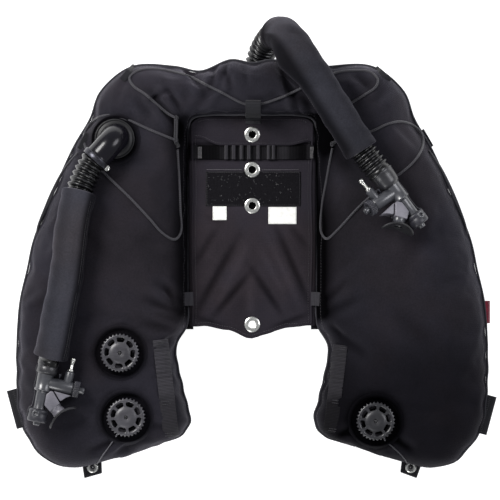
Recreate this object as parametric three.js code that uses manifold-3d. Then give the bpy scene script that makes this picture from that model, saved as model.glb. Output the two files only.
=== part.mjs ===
// Dual-bladder horseshoe diving wing, lying on its back: +X to its right, +Y to its head,
// +Z up out of the floor that it rests on. Millimetres. The origin is on that floor, under the
// middle of the wing without its two inflator hoses.
import * as THREE from "three";
import { mergeVertices } from "three/addons/utils/BufferGeometryUtils.js";
import Module from "manifold-3d";

const wasm = await Module();
wasm.setup();

// ---- driving dimensions ---------------------------------------------------------------------
const GAP = 0.3;                    // between pieces that touch
const SHELL_WALL = 2.5;             // padded fabric of the outer shell
const BLADDER_WALL = 1.2;
const BLADDER_INSET = 10;           // from the shell's edge seam to the bladders' edges
const BLADDER_DEPTH = 17;           // from the shell's top to the front bladder
const PANEL_Z = 50;                 // underside of the centre panel
const PANEL_THICK = 2.5;
const PANEL_TOP = PANEL_Z + PANEL_THICK;
const GROMMET_OUTER = 11.75;
const GROMMET_HOLE = 5.5;
const GROMMET_Y = [198.5, 146.7, 93.8, -80.8];  // first to last is 11 inches, 279.3 mm
const WEBBING = 1.6;                // thickness of nylon webbing
const BUNGEE_RADIUS = 2;
const PULL_CORD_RADIUS = 0.9;
const HOSE_RADIUS = 20.5;
const SLEEVE_RADIUS = 25.5;
const SLEEVE_BORE = 22.8;
const INFLATOR_Z = 138;             // height of both inflators' axes

// Right half of the horseshoe, from the top centre to the lobe's tip. Each station joins a point
// on the outer edge to one on the inner edge; the bag there is thick mm deep and base mm up.
const HALF_STATIONS = [
  { outer: [0, 303], inner: [0, 227], base: 43, thick: 56 },
  { outer: [32, 307.5], inner: [30, 227], base: 43, thick: 56 },
  { outer: [75, 291], inner: [62, 227], base: 36, thick: 62 },
  { outer: [115, 298], inner: [88, 222], base: 20, thick: 78 },
  { outer: [176, 298], inner: [94, 200], base: 6, thick: 93 },
  { outer: [222, 262], inner: [94, 165], base: 0, thick: 101 },
  { outer: [238, 221], inner: [94, 130], base: 0, thick: 103 },
  { outer: [262, 180], inner: [94, 95], base: 0, thick: 106 },
  { outer: [290, 118], inner: [94, 55], base: 0, thick: 110 },
  { outer: [320, 45], inner: [94, 10], base: 0, thick: 114 },
  { outer: [330, 0], inner: [94, -30], base: 0, thick: 116 },
  { outer: [341, -50], inner: [95, -78], base: 0, thick: 118 },
  { outer: [345, -110], inner: [112, -112], base: 0, thick: 120 },
  { outer: [345, -160], inner: [108, -150], base: 0, thick: 120 },
  { outer: [342, -210], inner: [98, -190], base: 0, thick: 118 },
  { outer: [330, -245], inner: [92, -221], base: 0, thick: 115 },
  { outer: [300, -280], inner: [104, -243], base: 0, thick: 105 },
  { outer: [262, -290], inner: [130, -253], base: 3, thick: 80 },
  { outer: [222, -279], inner: [180, -266], base: 12, thick: 30 },
];

// Cross-section of the bag: across from -1, inner edge, to 1, outer edge; up from 0 to 1.
const TOP_PROFILE = [
  [-1, 0.45], [-0.94, 0.74], [-0.72, 0.94], [-0.35, 1], [0.35, 1], [0.72, 0.94], [0.94, 0.74], [1, 0.45],
];
const BAG_SECTION = [...TOP_PROFILE, [0.92, 0.15], [0.68, 0], [-0.68, 0], [-0.92, 0.15]];
const FRONT_SECTION = [[-1, 0.1], [-0.88, 0.6], [-0.7, 1], [0.7, 1], [0.88, 0.6], [1, 0.1]];
const REAR_SECTION = FRONT_SECTION.map(([across, up]) => [across, 1 - up]);
const CAVITY_SECTION = [
  [-1, 0.45], [-0.86, 0.8], [-0.5, 0.97], [0.5, 0.97], [0.86, 0.8], [1, 0.45], [0.88, 0.2], [0.62, 0.01],
  [-0.62, 0.01], [-0.88, 0.2],
];

const DUMP_VALVES = [
  { name: "left_upper", x: -194, y: -122, floor: 113.5 },
  { name: "left_lower", x: -185, y: -216.5, floor: 109 },
  { name: "right", x: 181, y: -222, floor: 108.5 },
];
const SHOULDER_PORT = { x: -201.6, y: 191.6, floor: 98 };
const REAR_PORT = { x: 6, y: 262, ceiling: 43 };

// ---- colours --------------------------------------------------------------------------------
const cloth = (name) => material(name, 0x1d1c20, 0.9, 0);
const webbing = () => material("webbing", 0x2a2a2c, 0.85, 0);
const rubber = () => material("rubber", 0x151517, 0.55, 0);
const plastic = () => material("plastic", 0x2e2f33, 0.45, 0);
const steel = () => material("steel", 0xc9c9c4, 0.3, 1);

function material(name, color, roughness, metalness) {
  const made = new THREE.MeshStandardMaterial({ color, roughness, metalness });
  made.name = name;
  return made;
}

// ---- helpers --------------------------------------------------------------------------------
const group = new THREE.Group();

function add(name, geometry, mat) {
  const mesh = new THREE.Mesh(geometry, mat);
  mesh.name = name;
  group.add(mesh);
  return mesh;
}

function toSolid(geometry) {
  const bare = geometry.clone();
  bare.deleteAttribute("normal");
  bare.deleteAttribute("uv");
  const merged = mergeVertices(bare, 1e-4);
  const vertProperties = Float32Array.from(merged.attributes.position.array);
  const triVerts = Uint32Array.from(merged.index.array);
  return new wasm.Manifold(new wasm.Mesh({ numProp: 3, vertProperties, triVerts }));
}

function toGeometry(solid) {
  const mesh = solid.getMesh();
  const geometry = new THREE.BufferGeometry();
  geometry.setAttribute("position", new THREE.BufferAttribute(mesh.vertProperties, 3));
  geometry.setIndex(new THREE.BufferAttribute(mesh.triVerts, 1));
  return geometry;
}

// A closed mesh from rings of equal length, with flat ends unless the rings join up.
function loft(rings, closed = false) {
  const sides = rings[0].length;
  const faces = [];
  const last = closed ? rings.length : rings.length - 1;
  for (let ring = 0; ring < last; ring += 1) {
    const next = (ring + 1) % rings.length;
    for (let side = 0; side < sides; side += 1) {
      const turn = (side + 1) % sides;
      faces.push([ring * sides + side, ring * sides + turn, next * sides + turn]);
      faces.push([ring * sides + side, next * sides + turn, next * sides + side]);
    }
  }
  if (!closed) {
    const end = (rings.length - 1) * sides;
    for (let side = 1; side < sides - 1; side += 1) {
      faces.push([0, side + 1, side]);
      faces.push([end, end + side, end + side + 1]);
    }
  }
  const points = rings.flat();
  let volume = 0;
  for (const [a, b, c] of faces) {
    volume += points[a].dot(new THREE.Vector3().crossVectors(points[b], points[c]));
  }
  if (volume < 0) {
    faces.forEach((face) => face.reverse());
  }
  const geometry = new THREE.BufferGeometry();
  geometry.setAttribute("position", new THREE.Float32BufferAttribute(points.flatMap((p) => p.toArray()), 3));
  geometry.setIndex(faces.flat());
  return geometry;
}

function cylinder(radius, length, sides = 16) {
  return new THREE.CylinderGeometry(radius, radius, length, sides);
}

// An upright cylinder from one height to another.
function post(radius, x, y, low, high, sides = 14) {
  const geometry = cylinder(radius, high - low, sides);
  geometry.rotateX(Math.PI / 2);
  geometry.translate(x, y, (low + high) / 2);
  return geometry;
}

// A cylinder between two points.
function rod(radius, from, to, sides = 12) {
  const start = new THREE.Vector3(...from);
  const run = new THREE.Vector3(...to).sub(start);
  const geometry = cylinder(radius, run.length(), sides);
  const turn = new THREE.Quaternion().setFromUnitVectors(new THREE.Vector3(0, 1, 0), run.clone().normalize());
  geometry.applyQuaternion(turn);
  geometry.translate(...start.addScaledVector(run, 0.5).toArray());
  return geometry;
}

function box(low, high) {
  const size = high.map((value, axis) => value - low[axis]);
  const geometry = new THREE.BoxGeometry(...size);
  geometry.translate(...low.map((value, axis) => value + size[axis] / 2));
  return geometry;
}

// A flat outline in plan, extruded upwards.
function slab(corners, low, high, holes = []) {
  const shape = new THREE.Shape(corners.map(([x, y]) => new THREE.Vector2(x, y)));
  for (const [x, y, radius] of holes) {
    shape.holes.push(new THREE.Path().absarc(x, y, radius, 0, 2 * Math.PI, true));
  }
  const geometry = new THREE.ExtrudeGeometry(shape, { depth: high - low, bevelEnabled: false, curveSegments: 8 });
  geometry.translate(0, 0, low);
  return geometry;
}

// A turned piece about an upright axis; the profile is [radius, height] pairs.
function turned(profile, x, y, sides = 18) {
  const geometry = new THREE.LatheGeometry(profile.map(([r, z]) => new THREE.Vector2(r, z)), sides);
  geometry.rotateX(Math.PI / 2);
  geometry.translate(x, y, 0);
  return geometry;
}

function tube(points, radius, sides, steps, bore = 0) {
  const curve = new THREE.CatmullRomCurve3(points.map((p) => new THREE.Vector3(...p)), false, "centripetal");
  const shape = new THREE.Shape(roundSection(radius, sides));
  if (bore > 0) {
    shape.holes.push(new THREE.Path(roundSection(bore, sides).reverse()));
  }
  return new THREE.ExtrudeGeometry(shape, { extrudePath: curve, steps, bevelEnabled: false });
}

function roundSection(radius, sides) {
  const angles = [...Array(sides).keys()].map((side) => (2 * Math.PI * side) / sides);
  return angles.map((angle) => new THREE.Vector2(radius * Math.cos(angle), radius * Math.sin(angle)));
}

const mirrored = ([x, y, ...rest]) => [-x, y, ...rest];

// ---- the horseshoe --------------------------------------------------------------------------
const STATIONS = [
  ...HALF_STATIONS.slice(1).reverse().map((s) => ({ ...s, outer: mirrored(s.outer), inner: mirrored(s.inner) })),
  ...HALF_STATIONS,
];

// A closed bag along the horseshoe, drawn in from its edges and ends by inset, between two heights
// of each station. Whatever is inside the shell is trimmed by one or two stations at each tip.
function bag(section, inset, heights, trim = 1) {
  const used = STATIONS.slice(trim, STATIONS.length - trim);
  const rings = used.map((station, index) => {
    const outer = new THREE.Vector2(...station.outer);
    const inner = new THREE.Vector2(...station.inner);
    const middle = outer.clone().add(inner).multiplyScalar(0.5);
    const across = outer.clone().sub(inner).multiplyScalar(0.5);
    const lengthwise = new THREE.Vector2(-across.y, across.x).setLength(inset);
    across.setLength(across.length() - inset);
    if (index === 0) {
      middle.sub(lengthwise);
    }
    if (index === used.length - 1) {
      middle.add(lengthwise);
    }
    const [low, high] = heights(station);
    return section.map(([u, v]) => new THREE.Vector3(
      middle.x + across.x * u, middle.y + across.y * u, low + (high - low) * v));
  });
  return loft(rings);
}

// Height of the bag's top above a point in plan, or null outside it. Between two stations the bag
// is ruled both ways, so the share along and across it is found by Newton's method.
function shellTop(x, y) {
  const mix = (a, b, share) => a + (b - a) * share;
  for (let index = 0; index < STATIONS.length - 1; index += 1) {
    const [here, next] = [STATIONS[index], STATIONS[index + 1]];
    let [along, across] = [0.5, 0.5];
    let miss = [1, 1];
    for (let pass = 0; pass < 12; pass += 1) {
      const inner = [0, 1].map((axis) => mix(here.inner[axis], next.inner[axis], along));
      const outer = [0, 1].map((axis) => mix(here.outer[axis], next.outer[axis], along));
      miss = [mix(inner[0], outer[0], across) - x, mix(inner[1], outer[1], across) - y];
      const lengthwise = [0, 1].map((axis) => mix(
        next.inner[axis] - here.inner[axis], next.outer[axis] - here.outer[axis], across));
      const crosswise = [outer[0] - inner[0], outer[1] - inner[1]];
      const det = lengthwise[0] * crosswise[1] - lengthwise[1] * crosswise[0];
      along -= (miss[0] * crosswise[1] - miss[1] * crosswise[0]) / det;
      across -= (lengthwise[0] * miss[1] - lengthwise[1] * miss[0]) / det;
    }
    const inside = along >= -1e-6 && along <= 1 + 1e-6 && across >= 0 && across <= 1;
    if (inside && Math.hypot(...miss) < 0.01) {
      return mix(here.base, next.base, along) + mix(here.thick, next.thick, along) * profileHeight(2 * across - 1);
    }
  }
  return null;
}

function profileHeight(u) {
  const upper = TOP_PROFILE.findIndex(([across]) => across >= u);
  const [u1, v1] = TOP_PROFILE[Math.max(upper, 1)];
  const [u0, v0] = TOP_PROFILE[Math.max(upper, 1) - 1];
  return v0 + ((v1 - v0) * (u - u0)) / (u1 - u0);
}

// Height of whatever is below a point in plan: the bag, or the panel between its lobes.
function surface(x, y) {
  return Math.max(shellTop(x, y) ?? PANEL_TOP, PANEL_TOP);
}

// Height at which a round cord rests there, clear of the slope beside it.
function restHeight(x, y, radius) {
  const reach = radius + 3.5;
  const around = roundSection(reach, 8).map((offset) => surface(x + offset.x, y + offset.y));
  return Math.max(surface(x, y), ...around) + radius + 0.7;
}

// A flat seat for a port, sunk into a bag on its high side and raised like a cup on its low side.
function seatPort(hollow, outside, { x, y, floor, radius, hole, skirt }, wall) {
  const column = toSolid(post(radius + wall, x, y, floor - skirt, floor + 40, 18));
  const raised = toSolid(post(radius + wall, x, y, floor - skirt, floor, 18));
  const above = toSolid(post(radius, x, y, floor, floor + 50, 18));
  const below = toSolid(post(radius, x, y, floor - skirt - 20, floor - wall, 18));
  const cup = column.intersect(outside).add(raised).subtract(above).subtract(below);
  const cut = hollow.subtract(above).subtract(below).add(cup);
  return cut.subtract(toSolid(post(hole, x, y, floor - wall - 1, floor + 1)));
}

const PORTS = [
  ...DUMP_VALVES.map((valve) => ({ ...valve, radius: 34, hole: 23, skirt: 4 })),
  { ...SHOULDER_PORT, radius: 31, hole: 17, skirt: 8.5 },
];

function makeShell() {
  const outside = toSolid(bag(BAG_SECTION, 0, (s) => [s.base, s.base + s.thick], 0));
  let shell = outside.subtract(toSolid(bag(CAVITY_SECTION, SHELL_WALL, (s) => [
    s.base + SHELL_WALL, s.base + s.thick - SHELL_WALL])));
  for (const port of PORTS) {
    shell = seatPort(shell, outside, port, SHELL_WALL);
  }
  shell = shell.subtract(toSolid(post(17, REAR_PORT.x, REAR_PORT.y, REAR_PORT.ceiling - 5, REAR_PORT.ceiling + 8)));
  add("outer_shell", toGeometry(shell), cloth("shell_cloth"));
}

// One thin bag in the front or rear half of the shell.
function hollowBladder(section, heights) {
  const outside = toSolid(bag(section, BLADDER_INSET, heights));
  const inside = toSolid(bag(section, BLADDER_INSET + BLADDER_WALL, (s) => {
    const [low, high] = heights(s);
    return [low + BLADDER_WALL, high - BLADDER_WALL];
  }, 2));
  return { outside, hollow: outside.subtract(inside) };
}

function makeBladders() {
  const split = (s) => s.base + s.thick / 2;
  const film = () => material("bladder_film", 0x5a5e66, 0.5, 0);
  const front = hollowBladder(FRONT_SECTION, (s) => [split(s) + 3, s.base + s.thick - BLADDER_DEPTH]);
  for (const port of PORTS) {
    const fit = { floor: port.floor - SHELL_WALL - 0.5, radius: port.radius - 1.7, skirt: port.skirt + 5 };
    const under = { ...port, ...fit };
    front.hollow = seatPort(front.hollow, front.outside, under, BLADDER_WALL);
  }
  add("front_bladder", toGeometry(front.hollow), film());
  const rear = hollowBladder(REAR_SECTION, (s) => [s.base + 9, split(s) - 3]);
  const port = toSolid(post(17, REAR_PORT.x, REAR_PORT.y, REAR_PORT.ceiling, REAR_PORT.ceiling + 16));
  add("rear_bladder", toGeometry(rear.hollow.subtract(port)), film());
}

// ---- centre panel ---------------------------------------------------------------------------
const PANEL_HALF = 93.4;
const PANEL_OUTLINE = [
  [-68, 226.5], [-82, 222], [-90, 213], [-PANEL_HALF, 198], [-PANEL_HALF, -83], [-66, -83], [-33, -90], [0, -102],
  [33, -90], [66, -83], [PANEL_HALF, -83], [PANEL_HALF, 198], [90, 213], [82, 222], [68, 226.5],
];

function makePanels() {
  const holes = GROMMET_Y.map((y) => [0, y, 8]);
  add("center_panel", slab(PANEL_OUTLINE, PANEL_Z, PANEL_TOP, holes), cloth("panel_cloth"));
  const backing = [[-90, -45], [90, -45], [90, 200], [78, 218], [-78, 218], [-90, 200]];
  add("rear_panel", slab(backing, PANEL_Z - 8, PANEL_Z - 6), cloth("panel_cloth"));
  GROMMET_Y.forEach((y, index) => add(`grommet_${index + 1}`, grommet(0, y, GROMMET_OUTER, GROMMET_HOLE, PANEL_Z,
    PANEL_TOP), steel()));
}

// A two-sided eyelet clenched through cloth between two heights, with play of GAP.
function grommet(x, y, outer, hole, low, high) {
  const barrel = hole + 1.6;
  const flange = 1.5;
  return turned([
    [hole, low - GAP - flange], [outer, low - GAP - flange], [outer, low - GAP], [barrel, low - GAP],
    [barrel, high + GAP], [outer, high + GAP], [outer - 1.2, high + GAP + flange], [hole, high + GAP + flange],
    [hole, low - GAP - flange],
  ], x, y, 12);
}

// Webbing across the panel, gathered into loops at its middle.
function makeGearStrap() {
  const low = PANEL_TOP + GAP;
  const rise = 3.6;
  const bottom = [[-91.5, low]];
  const pleats = 5;
  const pitch = 15;
  const start = -37.5;
  for (let pleat = 0; pleat < pleats; pleat += 1) {
    const x = start + pleat * pitch;
    bottom.push([x, low], [x + 3, low + rise], [x + 11, low + rise], [x + 14, low]);
  }
  bottom.push([92.5, low]);
  const top = bottom.map(([x, z]) => [x, z + WEBBING]).reverse();
  const shape = new THREE.Shape([...bottom, ...top].map(([x, z]) => new THREE.Vector2(x, z)));
  const geometry = new THREE.ExtrudeGeometry(shape, { depth: 21.9, bevelEnabled: false });
  geometry.rotateX(Math.PI / 2);
  geometry.translate(0, 183.2, 0);
  add("gear_strap", geometry, webbing());
}

function makePanelTrim() {
  let patch = toSolid(box([-68, 93, PANEL_TOP + GAP], [71.5, 144, PANEL_TOP + GAP + 1.6]));
  for (const y of GROMMET_Y) {
    patch = patch.subtract(toSolid(post(GROMMET_OUTER + GAP, 0, y, 40, 70)));
  }
  add("loop_patch", toGeometry(patch), cloth("loop_pile"));
  const label = material("label", 0xd8d8d4, 0.7, 0);
  add("square_label", box([-58, 72.5, PANEL_TOP + GAP], [-37.6, 92.7, PANEL_TOP + GAP + 0.6]), label);
  add("care_label", box([23.8, 66.8, PANEL_TOP + GAP], [65.2, 91.8, PANEL_TOP + GAP + 0.6]), label);
}

// Webbing loop that holds the bungees at the top of the panel, bent up over the yoke.
function makeTopLoop() {
  const inside = [[215, 54.5], [224.6, 54.5], [224.6, 68], [226, 84], [231.5, 97], [240, 102.5], [248, 103]];
  const outside = [[215, 56.5], [222.6, 56.5], [222.6, 68.5], [224, 85], [230, 98.7], [239.5, 104.5], [248, 105]];
  const shape = new THREE.Shape([...inside, ...outside.reverse()].map(([y, z]) => new THREE.Vector2(y, z)));
  const geometry = new THREE.ExtrudeGeometry(shape, { depth: 25, bevelEnabled: false });
  geometry.applyMatrix4(new THREE.Matrix4().set(0, 0, 1, -11, 1, 0, 0, 0, 0, 1, 0, 0, 0, 0, 0, 1));
  add("top_loop", geometry, webbing());
}

// ---- straps and tabs on the shell -----------------------------------------------------------
// Webbing laid on the bag from one point in plan to another, bent across its width as well.
function laidStrap(name, from, to, width, steps) {
  const run = new THREE.Vector2(to[0] - from[0], to[1] - from[1]);
  const aside = new THREE.Vector2(-run.y, run.x).setLength(width / 2);
  const lift = 3.6;
  const rings = [];
  for (let step = 0; step <= steps; step += 1) {
    const x = from[0] + (run.x * step) / steps;
    const y = from[1] + (run.y * step) / steps;
    const under = [-1, -0.33, 0.33, 1].map((share) => {
      const [px, py] = [x + aside.x * share, y + aside.y * share];
      return new THREE.Vector3(px, py, surface(px, py) + lift);
    });
    const over = under.map((p) => p.clone().setZ(p.z + WEBBING)).reverse();
    rings.push([...under, ...over]);
  }
  add(name, loft(rings), webbing());
}

// A folded webbing tab at the outer edge of a lobe: two layers with a fold between them.
function sideTab(name, sign) {
  const outline = [[345.8, -178], [362, -181], [347, -234], [340.5, -231]];
  const slot = [[340, -170], [359.8, -170], [345, -240], [330, -240]];
  const place = (corners) => (sign > 0 ? corners : corners.map(mirrored).reverse());
  const tab = toSolid(slab(place(outline), 48, 54.2));
  const fold = toSolid(slab(place(slot), 48 + WEBBING, 54.2 - WEBBING));
  add(name, toGeometry(tab.subtract(fold)), webbing());
}

const EYELET_TABS = [
  { side: "left", corners: [[-251, -287.8], [-247, -307.5], [-221, -300], [-224, -280.3]], eyelet: [-235, -291.5] },
  { side: "right", corners: [[223, -280], [218, -298.5], [242, -307.5], [249, -287.3]], eyelet: [233.5, -291.5] },
];
const TAB_LOW = 24;
const TAB_HIGH = 26.4;

function makeEyeletTabs() {
  for (const { side, corners, eyelet } of EYELET_TABS) {
    add(`eyelet_tab_${side}`, slab(corners, TAB_LOW, TAB_HIGH, [[...eyelet, 6.4]]), webbing());
    add(`eyelet_${side}`, grommet(...eyelet, 8.2, 4.2, TAB_LOW, TAB_HIGH), steel());
  }
}

// ---- bungees and pull cords -----------------------------------------------------------------
// A cord that rests on the bag and the panel along its route in plan.
function laidCord(name, route, radius, steps) {
  const curve = new THREE.CatmullRomCurve3(route.map(([x, y]) => new THREE.Vector3(x, y, 0)), false, "centripetal");
  const points = curve.getSpacedPoints(steps).map((p) => [p.x, p.y, restHeight(p.x, p.y, radius)]);
  add(name, tube(points, radius, 5, steps), rubber());
}

const SHOULDER_BUNGEE = {
  left: [[-15, 244], [-40, 257], [-66, 270], [-94, 284], [-130, 293], [-158, 294], [-171, 290], [-180, 281],
    [-174, 269], [-157, 257], [-137, 240], [-124, 229], [-117, 221]],
  right: [[18, 244], [44, 253], [72, 266], [98, 279], [125, 289], [150, 292], [172, 290], [184, 279], [181, 268],
    [166, 257], [148, 246], [134, 236], [124, 226]],
};
const CROSS_BUNGEE = {
  left: [[-122, 194], [-152, 206], [-184, 220], [-208, 226], [-226, 223], [-239, 213], [-247, 197], [-244, 178],
    [-230, 156], [-214, 139], [-177, 103], [-149, 73], [-131, 53], [-114, 44], [-106, 52], [-106, 90], [-108, 130],
    [-113, 176]],
  right: [[126, 192], [152, 196], [178, 204], [198, 213], [217, 217], [236, 212], [250, 198], [250, 180],
    [240, 162], [227, 149], [205, 132], [167, 102], [149, 82], [129, 58], [114, 46], [106, 56], [106, 92],
    [111, 128], [118, 178]],
};
const EDGE_CORD = {
  left: [[-256, 171], [-270, 147], [-285, 117], [-298, 88], [-309, 62], [-314, 46]],
  right: [[259, 174], [271, 150], [285, 119], [298, 89], [309, 62], [314, 46]],
};

function makeBungees() {
  for (const side of ["left", "right"]) {
    laidCord(`shoulder_bungee_${side}`, SHOULDER_BUNGEE[side], BUNGEE_RADIUS, 24);
    laidCord(`cross_bungee_${side}`, CROSS_BUNGEE[side], BUNGEE_RADIUS, 34);
    laidCord(`edge_cord_${side}`, EDGE_CORD[side], BUNGEE_RADIUS, 10);
  }
}

// A pull cord from beside a valve cap, down the lobe's end and through the eyelet.
const PULL_CORDS = {
  left: [[-199, -243.5], [-203, -250], [-208, -257], [-213, -264], [-218, -270.5], [-222, -276.5], [-226, -282.5],
    [-229.5, -287.5]],
  right: [[194.5, -249.8], [201, -256], [208, -262], [214, -267.5], [219, -272.5], [224, -278.5], [228, -284.5],
    [231, -288.5]],
};
const KNOB_RADIUS = 4.6;
const KNOB_Z = 17;

function makePullCords() {
  for (const { side, eyelet } of EYELET_TABS) {
    const laid = PULL_CORDS[side].map(([x, y]) => [x, y, restHeight(x, y, PULL_CORD_RADIUS)]);
    const [x, y] = eyelet;
    const fall = [[x, y + 0.4, TAB_HIGH + 10], [x, y, TAB_HIGH + 4], [x, y, TAB_LOW - 1]];
    add(`pull_cord_${side}`, tube([...laid, ...fall], PULL_CORD_RADIUS, 5, 16), cloth("cord"));
    const r = KNOB_RADIUS;
    const bead = [[0, -r], [0.7 * r, -0.7 * r], [r, 0], [0.7 * r, 0.7 * r], [0, r]];
    add(`pull_knob_${side}`, turned(bead.map(([a, z]) => [a, z + KNOB_Z]), ...eyelet, 8), plastic());
  }
}

// ---- dump valves ----------------------------------------------------------------------------
const CAP = { radius: 28.6, bore: 25.4, skirt: 0.6, top: 15.5, plate: 2.6, teeth: 16, slots: 6 };

function valveCap({ x, y, floor }) {
  const outline = [];
  for (let tooth = 0; tooth < CAP.teeth; tooth += 1) {
    const step = (2 * Math.PI) / CAP.teeth;
    for (const [turn, radius] of [[0, CAP.radius], [0.5, CAP.radius], [0.6, CAP.radius - 1.6], [0.9, CAP.radius - 1.6]]) {
      const angle = (tooth + turn) * step;
      outline.push([x + radius * Math.cos(angle), y + radius * Math.sin(angle)]);
    }
  }
  let cap = toSolid(slab(outline, floor + CAP.skirt, floor + CAP.top));
  cap = cap.subtract(toSolid(post(CAP.bore, x, y, floor - 1, floor + CAP.top - CAP.plate)));
  cap = cap.subtract(toSolid(post(4, x, y, floor, floor + 30, 10)));
  for (let slot = 0; slot < CAP.slots; slot += 1) {
    const middle = (2 * Math.PI * slot) / CAP.slots;
    const half = 0.34;
    const arc = [-half, 0, half];
    const outer = arc.map((a) => [x + 22.6 * Math.cos(middle + a), y + 22.6 * Math.sin(middle + a)]);
    const inner = arc.map((a) => [x + 17.2 * Math.cos(middle + a), y + 17.2 * Math.sin(middle + a)]).reverse();
    cap = cap.subtract(toSolid(slab([...outer, ...inner], floor, floor + 30)));
  }
  return toGeometry(cap);
}

// Flange inside the bladder, seat, and the neck that the cap screws on to.
function valveBase({ x, y, floor }) {
  const flangeTop = floor - 5.2;
  return turned([
    [14, flangeTop - 2.5], [31, flangeTop - 2.5], [31, flangeTop], [22, flangeTop], [22, floor + 0.5],
    [25, floor + 0.5], [25, floor + 9], [21.5, floor + 9], [21.5, floor + 1], [18, floor - 3], [14, floor - 3],
    [14, flangeTop - 2.5],
  ], x, y, 14);
}

function poppet({ x, y, floor }) {
  const seat = floor - 3 + GAP;
  return turned([
    [0, seat], [17, seat], [17, seat + 2], [3.2, seat + 3], [3.2, floor + 15], [0, floor + 15],
  ], x, y, 14);
}

// Coil spring between the poppet and the cap.
function valveSpring({ x, y, floor }) {
  const turns = 3;
  const perTurn = 8;
  const low = floor + 1.6;
  const high = floor + CAP.top - CAP.plate - 1.4;
  const points = [];
  for (let step = 0; step <= turns * perTurn; step += 1) {
    const angle = (2 * Math.PI * step) / perTurn;
    const z = low + ((high - low) * step) / (turns * perTurn);
    points.push([x + 9 * Math.cos(angle), y + 9 * Math.sin(angle), z]);
  }
  return tube(points, 0.8, 4, turns * perTurn);
}

function makeDumpValves() {
  for (const valve of DUMP_VALVES) {
    add(`dump_base_${valve.name}`, valveBase(valve), plastic());
    add(`dump_cap_${valve.name}`, valveCap(valve), plastic());
    add(`dump_poppet_${valve.name}`, poppet(valve), rubber());
    add(`dump_spring_${valve.name}`, valveSpring(valve), steel());
  }
}

// ---- hoses, sleeves and their elbows --------------------------------------------------------
const LEFT_ROUTE = [
  [-227.2, 162.8, 129], [-233.4, 155.8, 129], [-240, 144.5, 130.5], [-246.5, 131, 133], [-251.8, 117, 135.5],
  [-256, 101, 138], [-259.8, 85, 140], [-262.8, 68, 141.5], [-265.5, 48, 142.5], [-267.6, 28, 143.5],
  [-270, 8, 144], [-273, -14, 144.5], [-277.5, -38, 145], [-282, -62, 145.5], [-286.5, -86, 145.5],
  [-291, -110, 145], [-295, -127, 142.5], [-297.6, -138.6, 139.5],
];
const RIGHT_ROUTE = [
  [8, 287.2, 21.5], [9, 299.5, 21.8], [12.6, 313, 25], [18, 326, 33], [25, 337, 46], [31, 343.5, 62], [37, 346.5, 80],
  [43, 346, 98], [50, 342, 114], [58, 333.5, 128], [67, 321, 137], [79, 303, 141], [91, 284, 141], [107, 258, 140.5],
  [123, 233, 140], [141, 205, 139.5], [160, 175, 139], [174, 157, 138.8], [187, 141.5, 138.4], [196.6, 130.4, 138.2],
];

function makeHoses() {
  add("left_hose", tube(LEFT_ROUTE, HOSE_RADIUS, 10, 12), rubber());
  add("left_sleeve", tube(LEFT_ROUTE.slice(4, 17), SLEEVE_RADIUS, 10, 8, SLEEVE_BORE), cloth("sleeve"));
  add("right_hose", tube(RIGHT_ROUTE, HOSE_RADIUS, 10, 22), rubber());
  add("right_sleeve", tube(RIGHT_ROUTE.slice(6, 17), SLEEVE_RADIUS, 10, 12, SLEEVE_BORE), cloth("sleeve"));
}

// Elbow on the left shoulder: flange, turret and an outlet that points down and out.
function makeShoulderElbow() {
  const { x, y, floor } = SHOULDER_PORT;
  const away = new THREE.Vector2(-0.665, -0.747);
  const outlet = (distance) => [x + away.x * distance, y + away.y * distance, 129];
  let elbow = toSolid(post(29.4, x, y, floor + GAP, floor + 5, 18));
  elbow = elbow.add(toSolid(post(16.5, x, y, floor - 14, floor + 2)));
  elbow = elbow.add(toSolid(post(21, x, y, floor + 4, 134)));
  elbow = elbow.add(toSolid(post(15, x, y, 133, 146)));
  elbow = elbow.add(toSolid(rod(19, outlet(0), outlet(37), 14)));
  elbow = elbow.subtract(toSolid(post(12, x, y, floor - 20, 126, 12)));
  elbow = elbow.subtract(toSolid(rod(12, outlet(0), outlet(50), 12)));
  add("shoulder_elbow", toGeometry(elbow), plastic());
}

// Low elbow on the back of the yoke: flange against the shell and an outlet towards the head.
function makeRearElbow() {
  const { x, y, ceiling } = REAR_PORT;
  const axis = 21.5;
  let elbow = toSolid(post(23, x, y, ceiling - GAP - 3.5, ceiling - GAP, 18));
  elbow = elbow.add(toSolid(post(16.3, x, y, ceiling - 5, ceiling + 14)));
  elbow = elbow.add(toSolid(post(19, x, y, 4, ceiling - 2)));
  elbow = elbow.add(toSolid(rod(18, [x, y, axis], [x + 1.8, y + 24.2, axis], 16)));
  elbow = elbow.subtract(toSolid(post(12, x, y, 10, ceiling + 20, 12)));
  elbow = elbow.subtract(toSolid(rod(12, [x, y, axis], [x + 3, y + 40, axis], 12)));
  add("rear_elbow", toGeometry(elbow), plastic());
}

// ---- inflators ------------------------------------------------------------------------------
// Built flat with the hose end at the origin, the body running to -Y and its air arm to +X; the
// plan angle turns it. The right one is rolled past flat, so that its arm and mouthpiece stand up.
const RIGHT_ROLL = Math.PI + 0.43;
const INFLATORS = [
  {
    side: "left", at: [-299, -141.5], heading: [-0.194, -0.981], roll: 0,
    arm: { start: -24.4, slope: -0.02 }, stem: [36.5, -8.7], pin: 22,
  },
  {
    side: "right", at: [199.4, 127.2], heading: [0.61, -0.792], roll: RIGHT_ROLL,
    arm: { start: -21.5, slope: 0.06 }, stem: [33, -4.7], pin: 20,
  },
];
const SPOUT = [0.616, -0.788];                          // direction of the mouthpiece branch

const onArm = ({ start, slope }, distance) => [
  Math.cos(slope) * distance, start + Math.sin(slope) * distance, 0];
const onSpout = (distance) => [6 + SPOUT[0] * distance, -30 + SPOUT[1] * distance, 0];

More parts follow.
